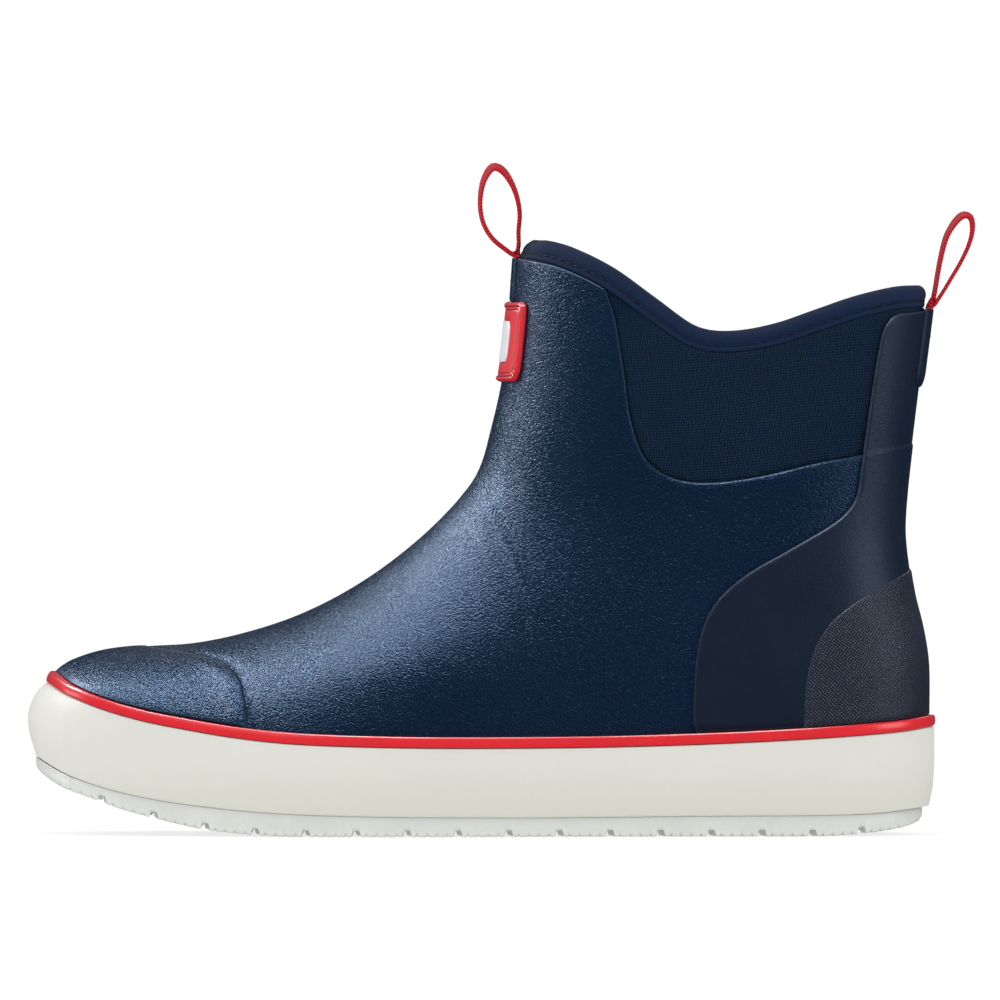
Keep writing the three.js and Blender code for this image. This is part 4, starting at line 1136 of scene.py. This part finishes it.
def tread_cuts():
    """Rows across the tread, and how deep it is cut at each."""
    groove = [(-1.8, 0), (-1.6, 0.14), (-1.05, 1.7), (-0.75, 2.1), (0.75, 2.1), (1.05, 1.7), (1.6, 0.14),
              (1.8, 0)]
    sipe = [(-0.55, 0), (-0.3, 0.45), (0, 0.6), (0.3, 0.45), (0.55, 0)]
    cuts = [(-165.0, 0), (-158.0, 0), (-152.0, 0), (-147.0, 0)]
    for k in range(-1, GROOVE_COUNT + 1):
        centre = FIRST_GROOVE_X + k * GROOVE_PITCH
        if 0 <= k < GROOVE_COUNT:
            cuts += [(centre + u, depth) for u, depth in groove]
        for j in range(1, SIPES + 1):
            cuts += [(centre + j * GROOVE_PITCH / (SIPES + 1) + u, depth) for u, depth in sipe]
    cuts += [(160.0, 0), (166.0, 0)]
    return np.array(cuts).T


def tread():
    rows, depths = tread_cuts()
    reach = 3.0 + 4.1 * toeward - 3.4 * heelward
    sole_plate(
        "treaded_outsole", MILKY,
        lambda x, row, y: ground_line(x) + np.interp(row, rows, depths),
        lambda x, row, y: parting_line(x) - 0.02,
        rows, np.linspace(-57, 57, 61), reach=reach, low_radius=1.5, high_radius=0.15,
        shift=lambda y: np.interp(y, *ZIGZAG), node="outsole_tread")


def footbed_shape(x, y):
    """Cupped at the heel and a little raised under the arch."""
    heel = 0.9 * smooth(60, 110, x) * np.clip(np.abs(y) / 26, 0, 1) ** 2
    arch = 1.2 * np.exp(-((x - 20) / 35) ** 2) * smooth(8, 26, y)
    return heel + arch


def inside_the_boot():
    rows, columns = np.linspace(-150, 152, 121), np.linspace(-56, 56, 57)
    sole_plate("footbed_top", LINING_KNIT,
               lambda x, row, y: deck(x) + 4.3 + 0 * y,
               lambda x, row, y: deck(x) + 5.2 + footbed_shape(x, y),
               rows, columns, inset=5.8, high_radius=0.8, node="footbed_cover")
    sole_plate("footbed_cushion", FOAM, lambda x, row, y: deck(x) + 0 * y,
               lambda x, row, y: deck(x) + 4 + 0 * y, rows[::3], columns[::3], inset=5.8, high_radius=0.6,
               node="footbed_foam")
    sole_plate("midsole_foam", FOAM, lambda x, row, y: parting_line(x) + 1.2,
               lambda x, row, y: deck(x) - 4.2, rows[::3], columns[::3], inset=1.0,
               node="midsole_core")
    for node, material in (("insole_board", FIBRE_BOARD), ("heel_stiffener", FIBRE_BOARD),
                           ("toe_puff", FIBRE_BOARD), ("shank_plate", NYLON)):
        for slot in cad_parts[node].material_slots:
            slot.material = material


sidewall()
stripe()
tread()
inside_the_boot()


# ---- collar ----

def collar_frames():
    place, normal, around = COLLAR
    along = np.roll(place, -1, 0) - np.roll(place, 1, 0)
    up = unit(np.cross(normal, along))
    return place, normal, up * np.sign(up[:, 2])[:, None], around


COLLAR_PLACE, COLLAR_NORMAL, COLLAR_UP, COLLAR_AROUND = collar_frames()
COLLAR_IN = -5.8
# The binding sits back at the front of the boot, behind the pull loop.
AT_FRONT = smooth(0.72, 0.98, -COLLAR_NORMAL[:, 0])
COLLAR_OUT = mix(-0.55, -1.5, AT_FRONT)
STITCH_RISE = 2.3
FRONT_LEAN, FRONT_SINK = 0.4, 0.1  # how far back and down the binding goes there, for each mm of height
STITCH_LENGTH, STITCH_GAP = 2.7, 0.55
COLLAR_THREAD, BAR_THREAD = 0.27, 0.26  # radii
THREAD_SIDES = 6
BAR_HALF_WIDTH, BAR_PITCH = 5.6, 0.7


def binding():
    """Folded tape over the collar, drawn in along its line of stitches. Each place in its section is how
    far it is out from the skin, and up from the collar line."""
    out = COLLAR_OUT
    places = [(COLLAR_IN, 0.06), (out - 0.7, 0.06), (out - 0.2, 0.16), (out + 0.06, 0.6),
              (out + 0.06, 1.3), (out - 0.02, 1.75),
              (out - 0.3, 2.1), (out - 0.36, STITCH_RISE), (out - 0.28, 2.55), (out - 0.02, 3.0),
              (out + 0.12, 3.7), (out + 0.1, 4.5), (out - 0.08, 5.2), (out - 0.45, 5.9), (out - 1.0, 6.55),
              (mix(out, COLLAR_IN, 0.35), 7.05), (mix(out, COLLAR_IN, 0.5), 7.2),
              (mix(out, COLLAR_IN, 0.65), 7.1), (COLLAR_IN + 0.9, 6.6), (COLLAR_IN + 0.35, 5.9),
              (COLLAR_IN + 0.05, 5.0), (COLLAR_IN, 3.2), (COLLAR_IN + 0.2, 2.4), (COLLAR_IN, 1.6),
              (COLLAR_IN, 0.8)]
    ripple = 0.05 * np.sin(COLLAR_AROUND / 1.6 * math.pi)
    sections = []
    for o, rise in places:
        o = np.broadcast_to(o, len(out)) + ripple * (1.5 < rise < 3.2) - FRONT_LEAN * rise * AT_FRONT
        rise = rise * (1 - FRONT_SINK * AT_FRONT)
        sections.append(COLLAR_PLACE + COLLAR_NORMAL * o[:, None] + COLLAR_UP * rise[:, None])
    ring_piece("collar_tape", sections, COLLAR_AROUND, BINDING, node="collar_binding")


def stitched(lines, radius):
    """Points and faces of short threads, one along each line of points, tapering into their holes."""
    points, faces = [], []
    for line in lines:
        line = np.asarray(line)
        along = unit(np.gradient(line, axis=0))
        side = unit(np.cross(along, np.roll(along, 1, 1) + [0.3, 0.5, 0.8]))
        other = np.cross(along, side)
        first, sections = len(points), len(line)
        for i in range(sections):
            size = radius * (0.35 if i in (0, sections - 1) else 1)
            for turn in np.arange(THREAD_SIDES) * 2 * math.pi / THREAD_SIDES:
                points.append(line[i] + size * (side[i] * math.cos(turn) + other[i] * math.sin(turn)))
        for i in range(sections - 1):
            for k in range(THREAD_SIDES):
                m = (k + 1) % THREAD_SIDES
                a, b = first + THREAD_SIDES * i, first + THREAD_SIDES * (i + 1)
                faces.append((a + k, a + m, b + m, b + k))
        end = first + THREAD_SIDES * (sections - 1)
        faces.append(tuple(range(first + THREAD_SIDES - 1, first - 1, -1)))
        faces.append(tuple(range(end, end + THREAD_SIDES)))
    return points, faces


def collar_stitches():
    seam_out = COLLAR_OUT - 0.2 - FRONT_LEAN * STITCH_RISE * AT_FRONT
    seam_up = STITCH_RISE * (1 - FRONT_SINK * AT_FRONT)
    seam = COLLAR_PLACE + COLLAR_NORMAL * seam_out[:, None] + COLLAR_UP * seam_up[:, None]
    lines = []
    total = COLLAR_AROUND[-1] + COLLAR_AROUND[1]
    pitch = STITCH_LENGTH + STITCH_GAP
    count = int(total / pitch)
    for k in range(count):
        at = (k + np.array([0.0, 0.12, 0.35, 0.65, 0.88, 1.0]) * STITCH_LENGTH / pitch) * total / count
        sink = np.array([-0.5, -0.05, 0.1, 0.1, -0.05, -0.5])
        place, out = (np.stack([np.interp(at, COLLAR_AROUND, values) for values in table.T], -1)
                      for table in (seam, COLLAR_NORMAL))
        lines.append(place + out * sink[:, None])
    points, faces = stitched(lines, COLLAR_THREAD)
    make_piece("collar_stitches", points, faces, THREAD, "boot", "collar_stitching")


def bartack(name, node, curve, rounding, lift, low, high, inward):
    """A short bar of close, upright stitches through the webbing. Each dips into the tape at its ends."""
    dips = ((low, -0.5), (low + 0.25, 0), ((low + high) / 2, 0.08), (high - 0.25, 0), (high, -0.5))
    lines = []
    for y in np.arange(-BAR_HALF_WIDTH, BAR_HALF_WIDTH + 0.01, BAR_PITCH):
        ends = []
        for z, sink in dips:
            t = np.interp(z, curve(np.linspace(0, 1, 400))[1], np.linspace(0, 1, 400))
            behind = rounding * (1 - np.cbrt(1 - (abs(y) / SHAFT_HALF_WIDTH) ** 2))
            x = float(curve(t)[0]) + inward * behind
            place, normal = skin(np.array([x]), np.array([z]), np.array([np.sign(y)]))
            ends.append(place[0] + normal[0] * (lift + sink))
        lines.append(ends)
    points, faces = stitched(lines, BAR_THREAD)
    make_piece(name, points, faces, THREAD, "boot", node)


binding()
collar_stitches()
bartack("front_bar_of_stitches", "front_bartack", front_profile, FRONT_ROUNDING, 0.40, 183.4, 185.2, 1)
bartack("rear_bar_of_stitches", "rear_bartack", back_profile, BACK_ROUNDING, 2.55, 165.4, 167.2, -1)


# ---- pull loops ----

FRONT_LOOP = [
    (11.3, 193.0), (7.5, 195.3), (3.7, 198.6), (1, 203), (-0.2, 208), (-0.1, 213.5), (1.2, 218.6),
    (3.9, 222.2), (7.1, 221.2), (10, 217.2), (12, 212.2), (12.9, 206.6), (12.5, 200.8), (12.5, 196),
]
REAR_LOOP = [
    (150.7, 176.3), (151.6, 183), (153, 191), (154.9, 198.5), (157.6, 203.4), (160.6, 206.2),
    (163.2, 205.4), (163.8, 201.4), (162.6, 196.4), (160, 190.8), (156.6, 185), (153.3, 179.6),
]


def closed_curve(points, spacing):
    """Even points along a closed Catmull-Rom curve."""
    p = np.array(points, float)
    t = np.linspace(0, 1, 24, endpoint=False)[:, None]
    line = []
    for i in range(len(p)):
        a, b, c, d = (p[(i + k) % len(p)] for k in (-1, 0, 1, 2))
        line.append(0.5 * (2 * b + (c - a) * t + (2 * a - 5 * b + 4 * c - d) * t ** 2
                           + (3 * b - a - 3 * c + d) * t ** 3))
    line = np.vstack(line)
    closed = np.vstack((line, line[:1]))
    length = np.r_[0, np.cumsum(np.hypot(*np.diff(closed, axis=0).T))]
    count = int(length[-1] / spacing) // 4 * 4
    at = np.linspace(0, length[-1], count, endpoint=False)
    return np.stack([np.interp(at, length, closed[:, k]) for k in range(2)], -1), at


WEBBING_HALF_WIDTH, TAPE_THICKNESS = 5.95, 1.1
TWILL_PITCH, SELVEDGE_PITCH, SELVEDGE_WIDTH = 1.12, 0.75, 0.9


def webbing_tape(name, node, body, line, at, thickness, lean, closed):
    """A flat woven tape along a line of the side view. Its faces ripple with the twill, and its near
    edge leans outwards by lean, the rise per millimetre of width, at each point of the line."""
    if closed:
        along = np.roll(line, -1, 0) - np.roll(line, 1, 0)
    else:
        along = np.gradient(line, axis=0)
    out = unit(np.stack((-along[:, 1], along[:, 0]), -1))
    half = WEBBING_HALF_WIDTH
    across = np.linspace(-half, half, 41)
    edge = np.clip((half - np.abs(across)) / 0.5, 0, 1)
    body_thickness = thickness / 2 * (0.45 + 0.55 * np.sqrt(1 - (1 - edge) ** 2))
    twill = 0.06 * np.sin(at[:, None] / TWILL_PITCH * 2 * math.pi + np.abs(across)[None] / 1.5 * math.pi)
    at_selvedge = (np.abs(across) > half - SELVEDGE_WIDTH)[None]
    selvedge = 0.07 * np.cos(at[:, None] / SELVEDGE_PITCH * 2 * math.pi) * at_selvedge
    sections, girth = [], []
    for face in (1, -1):
        for k in range(len(across)) if face > 0 else range(len(across) - 1, -1, -1):
            off = face * (body_thickness[k] + twill[:, k] + selvedge[:, k]) - lean * across[k]
            place = line + out * off[:, None]
            sections.append(np.stack((place[:, 0], np.full(len(at), across[k]), place[:, 1]), -1))
            girth.append(across[k] + half)
    rounds, count = len(at), len(sections)
    ring = np.stack(sections, 1).reshape(-1, 3)
    faces = ring_faces(rounds, count)
    if not closed:
        faces = faces[:(rounds - 1) * count] + [tuple(range(count - 1, -1, -1)),
                                                tuple((rounds - 1) * count + k for k in range(count))]
    where = np.stack((np.repeat(at, count), np.tile(girth, rounds), np.full(len(ring), FAR_FROM_RIM)), -1)
    make_piece(name, ring, faces, WEBBING, body, node, where)


def pull_loop(name, node, body, points, lean_foot, lean_top):
    """A loop of tape, leaning a little more at its top than where it is sewn in."""
    line, at = closed_curve(points, 0.25)
    height = (line[:, 1] - line[:, 1].min()) / np.ptp(line[:, 1])
    outward = np.sign(np.cross(np.roll(line, -1, 0) - line, line.mean(0) - line).sum())
    lean = outward * mix(lean_foot, lean_top, height ** 4)
    webbing_tape(name, node, body, line, at, TAPE_THICKNESS, lean, closed=True)


def sewn_end(name, node, path):
    """Both layers of the tape where they come out of the collar."""
    line = spline(path, 0.2)
    at = np.r_[0, np.cumsum(np.hypot(*np.diff(line, axis=0).T))]
    webbing_tape(name, node, "boot", line, at, 2 * TAPE_THICKNESS + 0.1, np.zeros(len(at)), closed=False)


pull_loop("front_loop_webbing", "front_pull_loop", "front_loop", FRONT_LOOP, 0.03, 0.17)
pull_loop("rear_loop_webbing", "rear_pull_loop", "rear_loop", REAR_LOOP, 0.03, 0.14)
sewn_end("front_webbing_end", "front_webbing_tail",
         [(12.0, 191.9), (12.0, 192.8), (11.9, 193.7), (11.7, 194.4)])
sewn_end("rear_webbing_end", "rear_webbing_tail",
         [(149.3, 174.6), (149.6, 175.8), (150.2, 177.0), (150.9, 178.2)])


# ---- camera, light and floor ----

VIEW_WIDTH = 1000 / 3  # how much of the scene the picture's width takes in
CAMERA_DISTANCE = 5000
LOOK_AT = (6.33, 0.0, 111.3)


def set_camera():
    camera = bpy.data.cameras.new("camera")
    camera.sensor_width = 36
    camera.lens = 36 * CAMERA_DISTANCE / VIEW_WIDTH
    camera.clip_end = 100
    holder = add_object("camera", camera)
    x, y, z = LOOK_AT
    holder.location = Vector((x, y - CAMERA_DISTANCE, z)) * MM
    holder.rotation_euler = (math.radians(90), 0, 0)
    bpy.context.scene.camera = holder


def softbox(name, place, size, brightness, diffuse=False):
    """A soft light aimed at the boot. Its brightness is that of its face; most only make highlights,
    because the pale tent round the boot gives the even light."""
    light = bpy.data.lights.new(name, "AREA")
    light.shape = "RECTANGLE"
    light.size, light.size_y = size
    light.energy = brightness * math.pi * size[0] * size[1]
    holder = add_object(name, light)
    holder.location = place
    holder.rotation_euler = (Vector((0, 0, 0.09)) - Vector(place)).to_track_quat("-Z", "Y").to_euler()
    holder.visible_camera = False
    holder.visible_diffuse = diffuse


def set_lights():
    softbox("toe_side_softbox", (-1.05, 0.26, 1.0), (0.6, 0.6), 32.0)
    softbox("overhead_softbox", (-0.1, -0.36, 1.52), (0.7, 0.5), 35.0)
    softbox("key_softbox", (-0.8, -1.3, 0.85), (0.6, 0.6), 1.3, diffuse=True)
    softbox("low_toe_side_softbox", (-1.5, 0.28, 0.05), (0.7, 0.5), 3.8)
    softbox("rim_softbox", (0.43, 1.31, 0.89), (1.2, 0.5), 1.4)
    softbox("heel_side_softbox", (1.4, -0.35, 0.4), (0.7, 1.0), 3.4)
    world = bpy.data.worlds.new("studio")
    world.use_nodes = True
    background = world.node_tree.nodes["Background"]
    background.inputs["Color"].default_value = (0.4, 0.65, 1.0, 1)
    background.inputs["Strength"].default_value = 0.08
    bpy.context.scene.world = world
    bpy.context.scene.view_settings.view_transform = "Standard"


def set_tent():
    """A pale floor that curves up all round into a tent. It gives even light but no reflections."""
    floor_radius, bend, height, steps = 7.0, 2.0, 9.0, 48
    section = [(0.0, 0.0), (floor_radius, 0.0)]
    section += [(floor_radius + bend * math.sin(a), bend - bend * math.cos(a))
                for a in np.linspace(0, math.pi / 2, 13)[1:]]
    section += [(floor_radius + bend, height), (0.0, height)]
    points = [(r * math.cos(t), r * math.sin(t), z) for r, z in section
              for t in np.linspace(0, 2 * math.pi, steps, endpoint=False)]
    faces = [(k + i, k + (i + 1) % steps, k + steps + (i + 1) % steps, k + steps + i)
             for k in range(0, (len(section) - 1) * steps, steps) for i in range(steps)]
    mesh = bpy.data.meshes.new("studio_tent")
    mesh.from_pydata(points, [], faces)
    mesh.polygons.foreach_set("use_smooth", np.ones(len(faces), bool))
    tent = add_object("studio_tent", mesh)
    paper = Finish("studio_paper", (0.42, 0.42, 0.42), 0.95, Specular_IOR_Level=0.0,
                   Emission_Color=(1, 1, 1, 1), Emission_Strength=0.62)
    mesh.materials.append(paper.material)
    tent.visible_glossy = False


set_camera()
set_lights()
set_tent()
